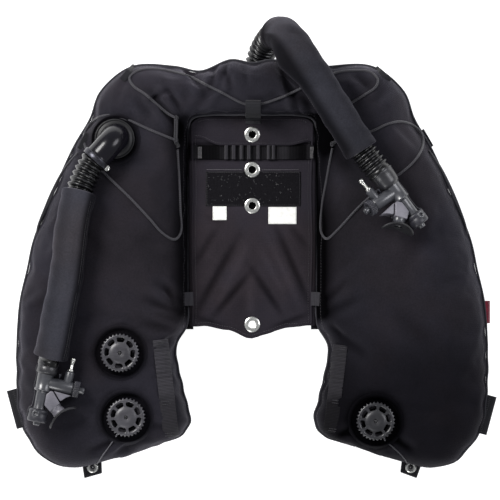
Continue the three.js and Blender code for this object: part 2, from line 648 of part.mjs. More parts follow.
function inflatorBody({ arm, stem, pin }) {
  let body = toSolid(rod(18, [0, -1.5, 0], [0, -11, 0], 14));
  const [x, y] = stem;
  const pieces = [
    rod(12, [0, -10, 0], [0, -38, 0], 14),
    rod(8.5, [0, -36, 0], [0, -72, 0]),
    rod(14.5, [0, -70, 0], [0, -88, 0], 14),
    rod(9.5, onArm(arm, 4), onArm(arm, 44)),
    rod(12, onArm(arm, 43), onArm(arm, 52), 14),
    rod(6.5, [x + 1, y - 19, 0], [x, y - 0.3, 0]),
    rod(9.5, onSpout(-4), onSpout(36)),
    rod(2.5, [pin, arm.start + 10, 0], [pin, arm.start - 4, 0], 8),
  ];
  for (const piece of pieces) {
    body = body.add(toSolid(piece));
  }
  body = body.subtract(toSolid(rod(5.6, [0, -77, 0], [0, -95, 0])));
  return body.subtract(toSolid(rod(5.4, onArm(arm, 43), onArm(arm, 60))));
}

// Curved rubber bite flange on a short neck.
function mouthpiece() {
  const neck = toSolid(rod(8.5, onSpout(36.4), onSpout(44)));
  const centre = onSpout(80);
  const rings = [];
  const back = Math.atan2(-SPOUT[1], -SPOUT[0]);
  for (let step = -4; step <= 4; step += 1) {
    const angle = back + step * 0.155;
    const at = (radius, z) => new THREE.Vector3(
      centre[0] + radius * Math.cos(angle), centre[1] + radius * Math.sin(angle), z);
    const half = 13 * Math.sqrt(1 - (step / 5) ** 2);
    rings.push([at(36, -half), at(38, -half), at(38, half), at(36, half)]);
  }
  return neck.add(toSolid(loft(rings)));
}

// Quick-connect stem for the low-pressure air hose.
function nipple([x, y]) {
  const geometry = turned([[0, 0], [4.6, 0], [4.6, 2.5], [2.8, 2.5], [2.8, 12], [3.9, 13], [3.9, 17], [0, 17]], 0, 0, 10);
  geometry.rotateX(-Math.PI / 2);
  geometry.rotateZ(0.05);
  geometry.translate(x, y + GAP, 0);
  return geometry;
}

function makeInflators() {
  for (const inflator of INFLATORS) {
    const { side, at, heading, arm, stem } = inflator;
    const turn = new THREE.Matrix4().makeRotationZ(Math.atan2(heading[1], heading[0]) + Math.PI / 2);
    const roll = new THREE.Matrix4().makeRotationY(inflator.roll);
    const place = new THREE.Matrix4().makeTranslation(...at, INFLATOR_Z).multiply(turn).multiply(roll);
    const parts = {
      inflator_body: [toGeometry(inflatorBody(inflator)), plastic()],
      inflate_button: [rod(5, onArm(arm, 47), onArm(arm, 59.5), 10), plastic()],
      deflate_button: [rod(5.2, [0, -81, 0], [0, -93, 0], 10), plastic()],
      air_nipple: [nipple(stem), steel()],
      mouthpiece: [toGeometry(mouthpiece()), rubber()],
    };
    for (const [piece, [geometry, mat]] of Object.entries(parts)) {
      add(`${side}_${piece}`, geometry.applyMatrix4(place), mat);
    }
  }
}

// ---- the wing -------------------------------------------------------------------------------
makeShell();
makeBladders();
makePanels();
makeGearStrap();
makePanelTrim();
makeTopLoop();
laidStrap("lobe_strap_left", [-130.5, -106], [-117.5, -229], 23, 10);
laidStrap("lobe_strap_right", [131.5, -111], [122, -238], 21, 10);
sideTab("side_tab_left", -1);
sideTab("side_tab_right", 1);
makeEyeletTabs();
makeBungees();
makePullCords();
makeDumpValves();
makeShoulderElbow();
makeRearElbow();
makeHoses();
makeInflators();

export default group;
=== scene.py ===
import math

import bmesh
import bpy
import numpy as np
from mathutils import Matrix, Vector
from mathutils.bvhtree import BVHTree


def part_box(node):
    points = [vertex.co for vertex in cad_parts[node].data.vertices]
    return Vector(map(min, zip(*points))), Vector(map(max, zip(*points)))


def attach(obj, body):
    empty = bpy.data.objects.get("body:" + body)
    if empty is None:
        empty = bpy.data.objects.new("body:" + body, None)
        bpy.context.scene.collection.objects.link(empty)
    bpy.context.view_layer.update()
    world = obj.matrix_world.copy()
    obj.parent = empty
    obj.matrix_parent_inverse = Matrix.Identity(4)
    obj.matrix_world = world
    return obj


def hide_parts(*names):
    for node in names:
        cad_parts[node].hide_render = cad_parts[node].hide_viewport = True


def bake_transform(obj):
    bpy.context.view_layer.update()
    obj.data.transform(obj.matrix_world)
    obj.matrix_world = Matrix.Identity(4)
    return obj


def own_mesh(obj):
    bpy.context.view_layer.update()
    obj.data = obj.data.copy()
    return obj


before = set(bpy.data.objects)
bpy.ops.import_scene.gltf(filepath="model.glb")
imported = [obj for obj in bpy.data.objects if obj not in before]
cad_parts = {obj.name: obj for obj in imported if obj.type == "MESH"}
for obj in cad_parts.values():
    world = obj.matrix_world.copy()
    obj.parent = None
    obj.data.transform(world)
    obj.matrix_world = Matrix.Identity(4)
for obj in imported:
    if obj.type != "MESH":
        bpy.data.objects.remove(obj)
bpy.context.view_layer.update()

# A dual-bladder diving wing lies on its back, seen from above: +X right, +Y to its head, +Z up.
# Lengths are in millimetres, and MM turns them into Blender's metres.
MM = 0.001
WING = "wing"

# ---- driving dimensions -----------------------------------------------------------------------
GAP = 0.3                           # play between a moving piece and what it rests on
PANEL_Z = 50.0
PANEL_TOP = 52.5
PANEL_HALF = 93.4
STRAP_SLOT = (157, 190)             # from Y to Y across the panel
GROMMET_Y = [198.5, 146.7, 93.8, -80.8]
GROMMET_HOLE = 7.5
GROMMET_HOLE_CLEAR = 12.5           # cloth lies flat this far out from a grommet's centre
WEBBING_THICK = 1.6
BUNGEE_RADIUS = 1.8
HOSE_RADIUS = 20.5                  # to the crests of its ribs
RIB_DEPTH = 4.6
RIB_PITCH = 8.2
SLEEVE_RADIUS = 25.5
SLEEVE_BORE = 22.8
SLEEVE_HEM = 11.0
INFLATOR_AXIS = 138.0               # height of the inflators' middle plane

# Right half of the horseshoe: outer edge, inner edge, height of the base, thickness.
HALF_STATIONS = [
    ((0, 303), (0, 227), 43, 56),
    ((32, 307.5), (30, 227), 43, 56),
    ((75, 291), (62, 227), 36, 62),
    ((115, 298), (88, 222), 20, 78),
    ((176, 298), (94, 200), 6, 93),
    ((222, 262), (94, 165), 0, 101),
    ((238, 221), (94, 130), 0, 103),
    ((262, 180), (94, 95), 0, 106),
    ((290, 118), (94, 55), 0, 110),
    ((320, 45), (94, 10), 0, 114),
    ((330, 0), (94, -30), 0, 116),
    ((341, -50), (95, -78), 0, 118),
    ((345, -110), (112, -112), 0, 120),
    ((345, -160), (108, -150), 0, 120),
    ((342, -210), (98, -190), 0, 118),
    ((330, -245), (92, -221), 0, 115),
    ((300, -280), (104, -243), 0, 105),
    ((262, -290), (130, -253), 3, 80),
    ((222, -279), (180, -266), 12, 30),
]
SEAM_UP = 0.45                      # height of the edge seams, as a share of the thickness
VALVES = {
    "left_upper": (-194, -122, 113.5),
    "left_lower": (-185, -216.5, 109),
    "right": (181, -222, 108.5),
}
SEAT_RADIUS = 34.0
SHOULDER_PORT = (-201.6, 191.6, 98)
SHOULDER_SEAT = 31.0
SEATS = [*((place, SEAT_RADIUS) for place in VALVES.values()), (SHOULDER_PORT, SHOULDER_SEAT)]
REAR_PORT = (6, 262, 43)

LEFT_ROUTE = [
    (-227.2, 162.8, 129), (-233.4, 155.8, 129), (-240, 144.5, 130.5), (-246.5, 131, 133),
    (-251.8, 117, 135.5), (-256, 101, 138), (-259.8, 85, 140), (-262.8, 68, 141.5),
    (-265.5, 48, 142.5), (-267.6, 28, 143.5), (-270, 8, 144), (-273, -14, 144.5),
    (-277.5, -38, 145), (-282, -62, 145.5), (-286.5, -86, 145.5), (-291, -110, 145),
    (-295, -127, 142.5), (-297.6, -138.6, 139.5),
]
RIGHT_ROUTE = [
    (8, 287.2, 21.5), (9, 299.5, 21.8), (12.6, 313, 25), (18, 326, 33), (25, 337, 46),
    (31, 343.5, 62), (37, 346.5, 80), (43, 346, 98), (50, 342, 114), (58, 333.5, 128),
    (67, 321, 137), (79, 303, 141), (91, 284, 141), (107, 258, 140.5), (123, 233, 140),
    (141, 205, 139.5), (160, 175, 139), (174, 157, 138.8), (187, 141.5, 138.4),
    (196.6, 130.4, 138.2),
]
SHOULDER_BUNGEE = {
    "left": [(-15, 244), (-40, 257), (-66, 270), (-94, 284), (-130, 293), (-158, 294),
             (-171, 290), (-180, 281), (-174, 269), (-157, 257), (-137, 240), (-124, 229),
             (-111.5, 222)],
    "right": [(18, 244), (44, 253), (72, 266), (98, 279), (125, 289), (150, 292), (172, 290),
              (184, 279), (181, 268), (166, 257), (148, 246), (134, 236), (124, 226)],
}
CROSS_BUNGEE = {
    "left": [(-112, 189.5), (-150, 205), (-184, 220), (-208, 226), (-226, 223), (-239, 213),
             (-247, 197), (-244, 178), (-230, 156), (-214, 139), (-177, 103), (-149, 73),
             (-131, 53), (-114, 44), (-105.5, 52), (-105.5, 90), (-107, 130), (-109.5, 176)],
    "right": [(126, 192), (152, 196), (178, 204), (198, 213), (217, 217), (236, 212),
              (250, 198), (250, 180), (240, 162), (227, 149), (205, 132), (167, 102),
              (147, 82), (125, 58), (109, 45), (101.5, 55), (102.5, 92), (108.5, 128), (117.5, 178)],
}
EDGE_CORD = {
    "left": [(-256, 171), (-275, 149), (-292, 119), (-305, 89), (-315, 62), (-317, 44)],
    "right": [(260, 174), (276, 151), (292, 120), (305, 89), (314, 62), (316, 46)],
}
PULL_CORD = {
    "left": [(-199, -243.5), (-203, -250), (-208, -257), (-213, -264), (-218, -270.5),
             (-222, -276.5), (-226, -282.5), (-229.5, -287.5)],
    "right": [(194.5, -249.8), (201, -256), (208, -262), (214, -267.5), (219, -272.5),
              (224, -278.5), (228, -284.5), (231, -288.5)],
}
EYELETS = {"left": (-235, -291.5), "right": (233.5, -291.5)}


# ---- small tools ------------------------------------------------------------------------------
def unit(vector):
    return np.asarray(vector, float) / np.linalg.norm(vector)


def smoothstep(value):
    value = np.clip(value, 0, 1)
    return value * value * (3 - 2 * value)


def catmull(points, per=12):
    """Centripetal Catmull-Rom curve through points, with `per` steps to each span."""
    points = np.asarray(points, float)
    points = np.vstack([2 * points[0] - points[1], points, 2 * points[-1] - points[-2]])
    curve = []
    for a, b, c, d in zip(points, points[1:], points[2:], points[3:]):
        knots = [0.0]
        for near, far in ((a, b), (b, c), (c, d)):
            knots.append(knots[-1] + max(np.linalg.norm(far - near), 1e-6) ** 0.5)
        k0, k1, k2, k3 = knots
        t = np.linspace(k1, k2, per, endpoint=False)[:, None]
        ab = (k1 - t) / (k1 - k0) * a + (t - k0) / (k1 - k0) * b
        bc = (k2 - t) / (k2 - k1) * b + (t - k1) / (k2 - k1) * c
        cd = (k3 - t) / (k3 - k2) * c + (t - k2) / (k3 - k2) * d
        abc = (k2 - t) / (k2 - k0) * ab + (t - k0) / (k2 - k0) * bc
        bcd = (k3 - t) / (k3 - k1) * bc + (t - k1) / (k3 - k1) * cd
        curve.append((k2 - t) / (k2 - k1) * abc + (t - k1) / (k2 - k1) * bcd)
    curve.append(points[-2][None])
    return np.vstack(curve)


def arc_lengths(points):
    """Distance of each point along a line from its start."""
    return np.concatenate([[0], np.cumsum(np.linalg.norm(np.diff(points, axis=0), axis=1))])


def evenly(points, step):
    """The same line with points about `step` apart."""
    points = np.asarray(points, float)
    along = arc_lengths(points)
    count = max(int(round(along[-1] / step)), 2) + 1
    places = np.linspace(0, along[-1], count)
    return np.column_stack([np.interp(places, along, points[:, k]) for k in range(points.shape[1])])


def smooth_line(points, step, per=12):
    """An even line along a smooth curve through points."""
    return evenly(catmull(points, per), step)


def tangents(path, closed=False):
    """Unit directions along a path."""
    if closed:
        run = np.roll(path, -1, axis=0) - np.roll(path, 1, axis=0)
    else:
        run = np.gradient(path, axis=0)
    return run / np.linalg.norm(run, axis=1)[:, None]


def carried_frames(path, closed=False, start=(0, 0, 1)):
    """Side and up directions along a path, carried without twist."""
    ahead = tangents(path, closed)
    up = np.asarray(start, float)
    ups = []
    for direction in ahead:
        up = up - direction * up.dot(direction)
        up = up / np.linalg.norm(up)
        ups.append(up)
    ups = np.array(ups)
    return np.cross(ahead, ups), ups


def make_piece(name, verts, faces, material, slot, body=WING, uv=None, smooth=True, stands_for=()):
    """A mesh object from points in millimetres, riding on a body."""
    mesh = bpy.data.meshes.new(name)
    mesh.from_pydata([tuple(v) for v in np.asarray(verts, float) * MM], [], [tuple(f) for f in faces])
    mesh.validate()
    if uv is not None:
        layer = mesh.uv_layers.new(name="UVMap")
        corners = np.zeros(len(mesh.loops), np.int32)
        mesh.loops.foreach_get("vertex_index", corners)
        layer.data.foreach_set("uv", (np.asarray(uv, float)[corners] * MM).ravel())
    mesh.polygons.foreach_set("use_smooth", [smooth] * len(mesh.polygons))
    mesh.update()
    piece = bpy.data.objects.new(name, mesh)
    bpy.context.scene.collection.objects.link(piece)
    piece.data.materials.append(material)
    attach(piece, body)
    if stands_for:
        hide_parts(*stands_for)
    return piece


def apply_modifiers(piece):
    """Bakes a piece's modifiers into its mesh."""
    graph = bpy.context.evaluated_depsgraph_get()
    made = bpy.data.meshes.new_from_object(piece.evaluated_get(graph), depsgraph=graph)
    old = piece.data
    piece.modifiers.clear()
    piece.data = made
    bpy.data.meshes.remove(old)
    return piece


def subdivide(piece):
    modifier = piece.modifiers.new("subdivision", "SUBSURF")
    modifier.levels = modifier.render_levels = 1
    return apply_modifiers(piece)


def bevel(piece, width, segments=2, angle=35):
    """Rounds a piece's sharp edges; the width is in millimetres."""
    modifier = piece.modifiers.new("bevel", "BEVEL")
    modifier.width = width * MM
    modifier.segments = segments
    modifier.limit_method = "ANGLE"
    modifier.angle_limit = math.radians(angle)
    modifier.harden_normals = False
    return apply_modifiers(piece)


def ring_faces(rings, sides, closed=False):
    """Quads between rings of `sides` points; flat ends unless the rings join up."""
    faces = []
    for ring in range(rings if closed else rings - 1):
        after = (ring + 1) % rings
        for side in range(sides):
            turn = (side + 1) % sides
            faces.append((ring * sides + side, ring * sides + turn, after * sides + turn,
                          after * sides + side))
    if not closed:
        faces.append(tuple(reversed(range(sides))))
        faces.append(tuple(range((rings - 1) * sides, rings * sides)))
    return faces


def sweep_mesh(path, section, side, up, closed=False, scale=None):
    """Points and faces of a closed section carried along a path."""
    path = np.asarray(path, float)
    section = np.asarray(section, float)
    scale = np.ones(len(path)) if scale is None else np.asarray(scale, float)
    across = section[:, 0][None, :, None] * side[:, None, :]
    above = section[:, 1][None, :, None] * up[:, None, :]
    points = path[:, None, :] + scale[:, None, None] * (across + above)
    along = arc_lengths(path)
    round_it = arc_lengths(np.vstack([section, section[:1]]))[:-1]
    uv = np.stack(np.broadcast_arrays(round_it[None, :], along[:, None]), axis=-1).reshape(-1, 2)
    return points.reshape(-1, 3), ring_faces(len(path), len(section), closed), uv


def circle(radius, sides):
    """Section of a round tube."""
    angles = np.arange(sides) * 2 * math.pi / sides
    return np.column_stack([radius * np.cos(angles), radius * np.sin(angles)])


def rounded_bar(width, thick, corner):
    """Section of a flat strap with rounded edges, four points to each corner."""
    per = 4
    corner = min(corner, thick / 2 - 1e-3, width / 2 - 1e-3)
    points = []
    for quarter, (sx, sy) in enumerate([(1, 1), (-1, 1), (-1, -1), (1, -1)]):
        for step in range(per):
            angle = math.pi / 2 * (quarter + step / (per - 1))
            points.append((sx * (width / 2 - corner) + corner * math.cos(angle),
                           sy * (thick / 2 - corner) + corner * math.sin(angle)))
    return np.array(points)


def strap_section(width, thick, inset, count):
    """Section of a strap with `count` points across each face, from `inset` inside its edges."""
    section = rounded_bar(width, thick, 0.6)
    inner = np.linspace(width / 2 - inset, -width / 2 + inset, count + 2)[1:-1]
    over, under = (np.column_stack([sign * inner, np.full(count, sign * thick / 2)]) for sign in (1, -1))
    return np.vstack([section[:4], over, section[4:12], under, section[12:]])


def tube(name, path, radius, material, slot, sides=16, closed=False, **options):
    """A round tube along a path; radius may vary from point to point."""
    path = np.asarray(path, float)
    side, up = carried_frames(path, closed, options.pop("start", (0.13, 0.21, 1)))
    radii = np.broadcast_to(np.asarray(radius, float), (len(path),))
    verts, faces, uv = sweep_mesh(path, circle(1, sides), side, up, closed, radii)
    return make_piece(name, verts, faces, material, slot, uv=uv, **options)


def lathe_mesh(profile, sides):
    """Points and faces of a closed profile of (radius, height) turned about Z."""
    profile = np.asarray(profile, float)
    angles = np.arange(sides) * 2 * math.pi / sides
    verts = np.array([[(r * math.cos(a), r * math.sin(a), z) for r, z in profile] for a in angles])
    count = len(profile)
    faces = []
    for turn in range(sides):
        after = (turn + 1) % sides
        for k in range(count):
            beyond = (k + 1) % count
            faces.append((turn * count + k, after * count + k, after * count + beyond,
                          turn * count + beyond))
    return verts.reshape(-1, 3), faces


def tidy_mesh(piece, distance=0.002):
    """Merges coincident points, drops faces without area and makes normals point out."""
    editing = bmesh.new()
    editing.from_mesh(piece.data)
    bmesh.ops.remove_doubles(editing, verts=editing.verts, dist=distance * MM)
    bmesh.ops.dissolve_degenerate(editing, edges=editing.edges, dist=distance * MM / 2)
    bmesh.ops.recalc_face_normals(editing, faces=editing.faces)
    editing.to_mesh(piece.data)
    editing.free()
    piece.data.update()
    return piece


def raised(profile, floor):
    """A profile of (radius, height) whose heights count from `floor`."""
    return [(radius, height + floor) for radius, height in profile]


def turn_to(axis):
    """The rotation that carries +Z onto an axis."""
    return np.array(Vector((0, 0, 1)).rotation_difference(Vector(tuple(axis))).to_matrix())


def turned(name, profile, at, material, slot, sides=64, axis=(0, 0, 1), **options):
    """A turned piece whose profile lies along an axis from `at`."""
    verts, faces = lathe_mesh(profile, sides)
    verts = verts @ turn_to(axis).T + np.asarray(at, float)
    return tidy_mesh(make_piece(name, verts, faces, material, slot, **options))


def join_meshes(parts):
    """One list of points and faces from several."""
    verts, faces, uvs, first = [], [], [], 0
    for points, polygons, uv in parts:
        verts.append(points)
        faces.extend(tuple(index + first for index in face) for face in polygons)
        uvs.append(uv if uv is not None else np.zeros((len(points), 2)))
        first += len(points)
    return np.vstack(verts), faces, np.vstack(uvs)


def stitch_mesh(path, normal, pitch=4.2, length=3.0, radius=0.42):
    """A row of short thread stitches lying along a path."""
    path = np.asarray(path, float)
    along = arc_lengths(path)
    parts = []
    normals = np.broadcast_to(np.asarray(normal, float), path.shape)
    profile = [(-0.5, 0.2), (-0.32, 0.85), (0, 1), (0.32, 0.85), (0.5, 0.2)]
    for place in np.arange(pitch / 2, along[-1] - pitch / 4, pitch):
        ends = [place + share * length for share, _ in profile]
        line = np.column_stack([np.interp(ends, along, path[:, k]) for k in range(3)])
        up = np.array([np.interp(place, along, normals[:, k]) for k in range(3)])
        lift = np.array([(1 - (2 * share) ** 2) * radius * 0.7 for share, _ in profile])
        line = line + lift[:, None] * unit(up)
        if np.linalg.norm(line[-1] - line[0]) < length * 0.3:
            continue
        side, ups = carried_frames(line, start=up)
        scale = [radius * share for _, share in profile]
        parts.append(sweep_mesh(line, circle(1, 6), side, ups, scale=scale))
    return join_meshes(parts)


def stitches(name, paths, material, **options):
    """Rows of stitches as one piece, facing up."""
    verts, faces, uv = join_meshes([stitch_mesh(path, (0, 0, 1), **options) for path in paths])
    return make_piece(name, verts, faces, material, "cord", uv=uv)


# ---- materials --------------------------------------------------------------------------------
def linear(rgb):
    """A linear colour from 0 to 255 display values."""
    def one(value):
        value = value / 255
        return value / 12.92 if value <= 0.04045 else ((value + 0.055) / 1.055) ** 2.4
    return tuple(one(value) for value in rgb) + (1.0,)


class Shader:
    """A Principled material with short calls for the nodes that feed it."""

    def __init__(self, name):
        self.material = bpy.data.materials.new(name)
        self.material.use_nodes = True
        self.tree = self.material.node_tree
        self.tree.nodes.clear()
        self.out = self.node("ShaderNodeOutputMaterial")
        self.bsdf = self.node("ShaderNodeBsdfPrincipled")
        self.link(self.bsdf.outputs["BSDF"], self.out.inputs["Surface"])
        self.place = self.node("ShaderNodeTexCoord")

    def node(self, kind, **values):
        made = self.tree.nodes.new(kind)
        for key, value in values.items():
            setattr(made, key, value)
        return made

    def link(self, start, end):
        self.tree.links.new(start, end)

    def feed(self, socket, value):
        if isinstance(value, bpy.types.NodeSocket):
            self.link(value, socket)
        else:
            socket.default_value = value

    def math(self, operation, first, second=0.5):
        made = self.node("ShaderNodeMath", operation=operation)
        self.feed(made.inputs[0], first)
        self.feed(made.inputs[1], second)
        return made.outputs[0]

    def noise(self, scale, detail=3.0, roughness=0.55, stretch=None):
        made = self.node("ShaderNodeTexNoise")
        made.inputs["Scale"].default_value = scale
        made.inputs["Detail"].default_value = detail
        made.inputs["Roughness"].default_value = roughness
        self.link(self.mapped(stretch=stretch), made.inputs["Vector"])
        return made.outputs["Fac"]

    def mapped(self, coords=None, stretch=None, turn=None):
        coords = coords or self.place.outputs["Object"]
        if stretch is None and turn is None:
            return coords
        mapping = self.node("ShaderNodeMapping")
        self.link(coords, mapping.inputs["Vector"])
        if stretch is not None:
            mapping.inputs["Scale"].default_value = stretch
        if turn is not None:
            mapping.inputs["Rotation"].default_value = turn
        return mapping.outputs["Vector"]

    def bands(self, pitch, axis, coords):
        """A smooth ridge every `pitch` metres along U or V, from 0 to 1."""
        split = self.node("ShaderNodeSeparateXYZ")
        self.link(coords, split.inputs[0])
        wave = self.math("SINE", self.math("MULTIPLY", split.outputs[axis], 2 * math.pi / pitch))
        return self.math("MULTIPLY_ADD", wave, 0.5)

    def ramp(self, factor, stops):
        made = self.node("ShaderNodeValToRGB")
        elements = made.color_ramp.elements
        while len(elements) < len(stops):
            elements.new(0.5)
        for element, (position, colour) in zip(elements, stops):
            element.position = position
            element.color = colour
        self.link(factor, made.inputs["Fac"])
        return made.outputs["Color"]

    def bump(self, height, strength, distance, normal=None):
        made = self.node("ShaderNodeBump")
        made.inputs["Strength"].default_value = strength
        made.inputs["Distance"].default_value = distance * MM
        self.link(height, made.inputs["Height"])
        if normal is not None:
            self.link(normal, made.inputs["Normal"])
        return made.outputs["Normal"]

    def set(self, **values):
        for key, value in values.items():
            self.feed(self.bsdf.inputs[key.replace("_", " ")], value)
        return self


def woven(shader, pitch):
    """Height of a plain weave with threads `pitch` apart, on the piece's own UV."""
    uv = shader.place.outputs["UV"]
    warp = shader.bands(pitch * MM, 0, uv)
    weft = shader.bands(pitch * MM, 1, uv)
    slow_warp = shader.bands(2 * pitch * MM, 0, uv)
    slow_weft = shader.bands(2 * pitch * MM, 1, uv)
    over = shader.math("MULTIPLY", warp, shader.math("MULTIPLY_ADD", slow_weft, 0.6))
    under = shader.math("MULTIPLY", weft, shader.math("MULTIPLY_ADD", slow_warp, 0.6))
    return shader.math("MAXIMUM", over, under)


def tone_factor(shader):
    """1 + the piece's own `tone`, which is 0 where it has none, kept between two limits."""
    tone = shader.node("ShaderNodeAttribute", attribute_name="tone").outputs["Fac"]
    return shader.math("MINIMUM", shader.math("MAXIMUM", shader.math("ADD", tone, 1.0), 0.06), 1.7)


def multiplied(shader, colour, by, factor=1.0):
    """A colour multiplied by another colour or by a value, wholly or by a share."""
    made = shader.node("ShaderNodeMix", data_type="RGBA", blend_type="MULTIPLY")
    made.inputs["Factor"].default_value = factor
    shader.feed(made.inputs["A"], colour)
    shader.feed(made.inputs["B"], by)
    return made.outputs["Result"]


def toned(shader, colour):
    """The colour scaled by the piece's own tone."""
    return multiplied(shader, colour, tone_factor(shader))


def set_tone(piece, tone):
    """Stores how much lighter or darker each point is, from its place in millimetres: painted light and
    shade on most pieces, a darker colour on the elbow flange.
    """
    count = len(piece.data.vertices)
    points = np.empty(count * 3)
    piece.data.vertices.foreach_get("co", points)
    values = np.broadcast_to(tone(points.reshape(-1, 3) / MM), (count,))
    stored = piece.data.attributes.new("tone", "FLOAT", "POINT")
    stored.data.foreach_set("value", values.astype(np.float32))


def cloth_material(name, low, high, pitch=1.1, depth=0.28, sheen=0.12):
    """Woven nylon: threads, slubs, faint dusty patches, warmer and cooler areas and a soft sheen, with
    painted light and shade from the piece's tone, which also dims the sheen and specular.
    """
    shader = Shader(name)
    weave = woven(shader, pitch)
    slub = shader.noise(900, 2, 0.6)
    patches = shader.noise(9.0, 4, 0.6)
    dust = shader.noise(380, 4, 0.8)
    mixed = shader.math("ADD", shader.math("MULTIPLY", patches, 0.5), shader.math("MULTIPLY", dust, 0.5))
    threads = shader.math("MULTIPLY", weave, shader.math("MULTIPLY_ADD", slub, 0.5))
    colour = shader.ramp(mixed, [(0.38, linear(low)), (0.62, linear(high))])
    relief = shader.ramp(threads, [(0.0, (0.35, 0.35, 0.35, 1)), (0.8, (1.15, 1.15, 1.15, 1))])
    shade = multiplied(shader, colour, relief, 0.55)
    warm, cool = (1.08, 0.98, 0.96, 1), (0.96, 0.98, 1.07, 1)
    tint = multiplied(shader, toned(shader, shade),
                      shader.ramp(shader.noise(6.0, 3, 0.6), [(0.42, warm), (0.58, cool)]))
    fine = shader.bump(threads, 0.75, depth)
    normal = shader.bump(shader.noise(60, 4, 0.6), 0.35, 0.9, fine)
    lit = tone_factor(shader)
    shader.set(Base_Color=tint, Roughness=0.86,
               Specular_IOR_Level=shader.math("MULTIPLY", lit, 0.15),
               Sheen_Weight=shader.math("MULTIPLY", lit, sheen), Sheen_Roughness=0.5, Normal=normal)
    shader.bsdf.inputs["Sheen Tint"].default_value = linear((200, 196, 214))
    return shader.material


def webbing_material(name, low, high, rib=1.9):
    """Nylon webbing: ribs across it, fine threads along it, paler worn ridges, and painted light and shade
    from the piece's tone, which also dims its sheen and specular.
    """
    shader = Shader(name)
    uv = shader.place.outputs["UV"]
    ribs = shader.bands(rib * MM, 1, uv)
    threads = shader.bands(0.8 * MM, 0, uv)
    wear = shader.noise(240, 4, 0.7)
    height = shader.math("ADD", shader.math("MULTIPLY", ribs, 0.7), shader.math("MULTIPLY", threads, 0.3))
    worn = shader.math("MULTIPLY", height, shader.math("ADD", wear, 0.35))
    colour = toned(shader, shader.ramp(worn, [(0.1, linear(low)), (0.75, linear(high))]))
    lit = tone_factor(shader)
    shader.set(Base_Color=colour, Roughness=0.72, Specular_IOR_Level=shader.math("MULTIPLY", lit, 0.22),
               Sheen_Weight=shader.math("MULTIPLY", lit, 0.1), Normal=shader.bump(height, 0.8, 0.32))
    return shader.material


def pile_material(name):
    """Hook-and-loop pile: tight dark loops with paler lint."""
    shader = Shader(name)
    loops = shader.noise(1500, 3, 0.8)
    lint = shader.noise(420, 5, 0.85)
    colour = shader.ramp(lint, [(0.45, linear((12, 11, 14))), (0.62, linear((22, 21, 25))),
                                (0.74, linear((48, 46, 50)))])
    shader.set(Base_Color=colour, Roughness=0.97, Specular_IOR_Level=0.05, Sheen_Weight=0.1,
               Normal=shader.bump(loops, 1.0, 0.7))
    return shader.material


def plastic_material(name, low, high, roughness=0.42, specular=0.45, grain=0.12, coat=0.0, scuff=0.5):
    """Moulded plastic: fine spark grain, faint scuffs and uneven gloss."""
    shader = Shader(name)
    grains = shader.noise(1700, 2, 0.6)
    patches = shader.noise(26, 4, 0.6)
    scratches = shader.noise(90, 6, 0.75, stretch=(1, 7, 2))
    colour = shader.ramp(shader.math("ADD", shader.math("MULTIPLY", patches, 0.6),
                                     shader.math("MULTIPLY", scratches, 0.4)),
                         [(0.38, linear(low)), (0.62, linear(high))])
    gloss = shader.math("ADD", shader.math("MULTIPLY", scratches, 0.3 * scuff), roughness - 0.15 * scuff)
    shader.set(Base_Color=colour, Roughness=gloss, Specular_IOR_Level=specular, Coat_Weight=coat,
               Coat_Roughness=0.12, Normal=shader.bump(grains, grain, 0.12))
    return shader.material


def rubber_material(name, low, high, roughness=0.5, specular=0.4):
    """Moulded rubber: satin, with bloom in patches, a fine dimple and the piece's tone, which is painted
    light and shade on the hoses and a darker colour on the elbow flange.
    """
    shader = Shader(name)
    bloom = shader.noise(32, 5, 0.7)
    dimple = shader.noise(700, 3, 0.6)
    colour = toned(shader, shader.ramp(bloom, [(0.38, linear(low)), (0.68, linear(high))]))
    gloss = shader.math("ADD", shader.math("MULTIPLY", bloom, 0.3), roughness - 0.15)
    shader.set(Base_Color=colour, Roughness=gloss, Specular_IOR_Level=specular,
               Normal=shader.bump(dimple, 0.25, 0.15))
    return shader.material


def metal_material(name, low, high, roughness=0.24):
    """Nickel-plated or stainless metal with fine polishing lines and a few dull spots."""
    shader = Shader(name)
    lines = shader.noise(160, 5, 0.7, stretch=(1, 1, 9))
    spots = shader.noise(500, 4, 0.8)
    colour = shader.ramp(spots, [(0.35, linear(low)), (0.6, linear(high))])
    gloss = shader.math("ADD", shader.math("MULTIPLY", lines, 0.3), roughness - 0.12)
    shader.set(Base_Color=colour, Metallic=1.0, Roughness=gloss, Normal=shader.bump(lines, 0.12, 0.1))
    return shader.material


def cord_material(name, low, high, pitch=2.2):
    """Braided sheath: two crossing spirals of strands on the tube's own UV."""
    shader = Shader(name)
    uv = shader.place.outputs["UV"]
    heights = []
    for turn in (0.75, -0.75):
        turned_uv = shader.mapped(uv, turn=(0, 0, turn))
        heights.append(shader.bands(pitch * MM, 1, turned_uv))
    height = shader.math("MAXIMUM", *heights)
    fuzz = shader.noise(800, 3, 0.7)
    colour = shader.ramp(shader.math("MULTIPLY", height, shader.math("ADD", fuzz, 0.3)),
                         [(0.15, linear(low)), (0.8, linear(high))])
    shader.set(Base_Color=colour, Roughness=0.6, Specular_IOR_Level=0.3, Sheen_Weight=0.15,
               Normal=shader.bump(height, 0.7, 0.3))
    return shader.material


def film_material(name):
    """Urethane bladder film: greyish, slightly wrinkled and semi-gloss."""
    shader = Shader(name)
    creases = shader.noise(45, 5, 0.7)
    colour = shader.ramp(creases, [(0.4, linear((70, 74, 82))), (0.65, linear((98, 102, 110)))])
    shader.set(Base_Color=colour, Roughness=0.42, Specular_IOR_Level=0.5,
               Normal=shader.bump(creases, 0.5, 1.5))
    return shader.material


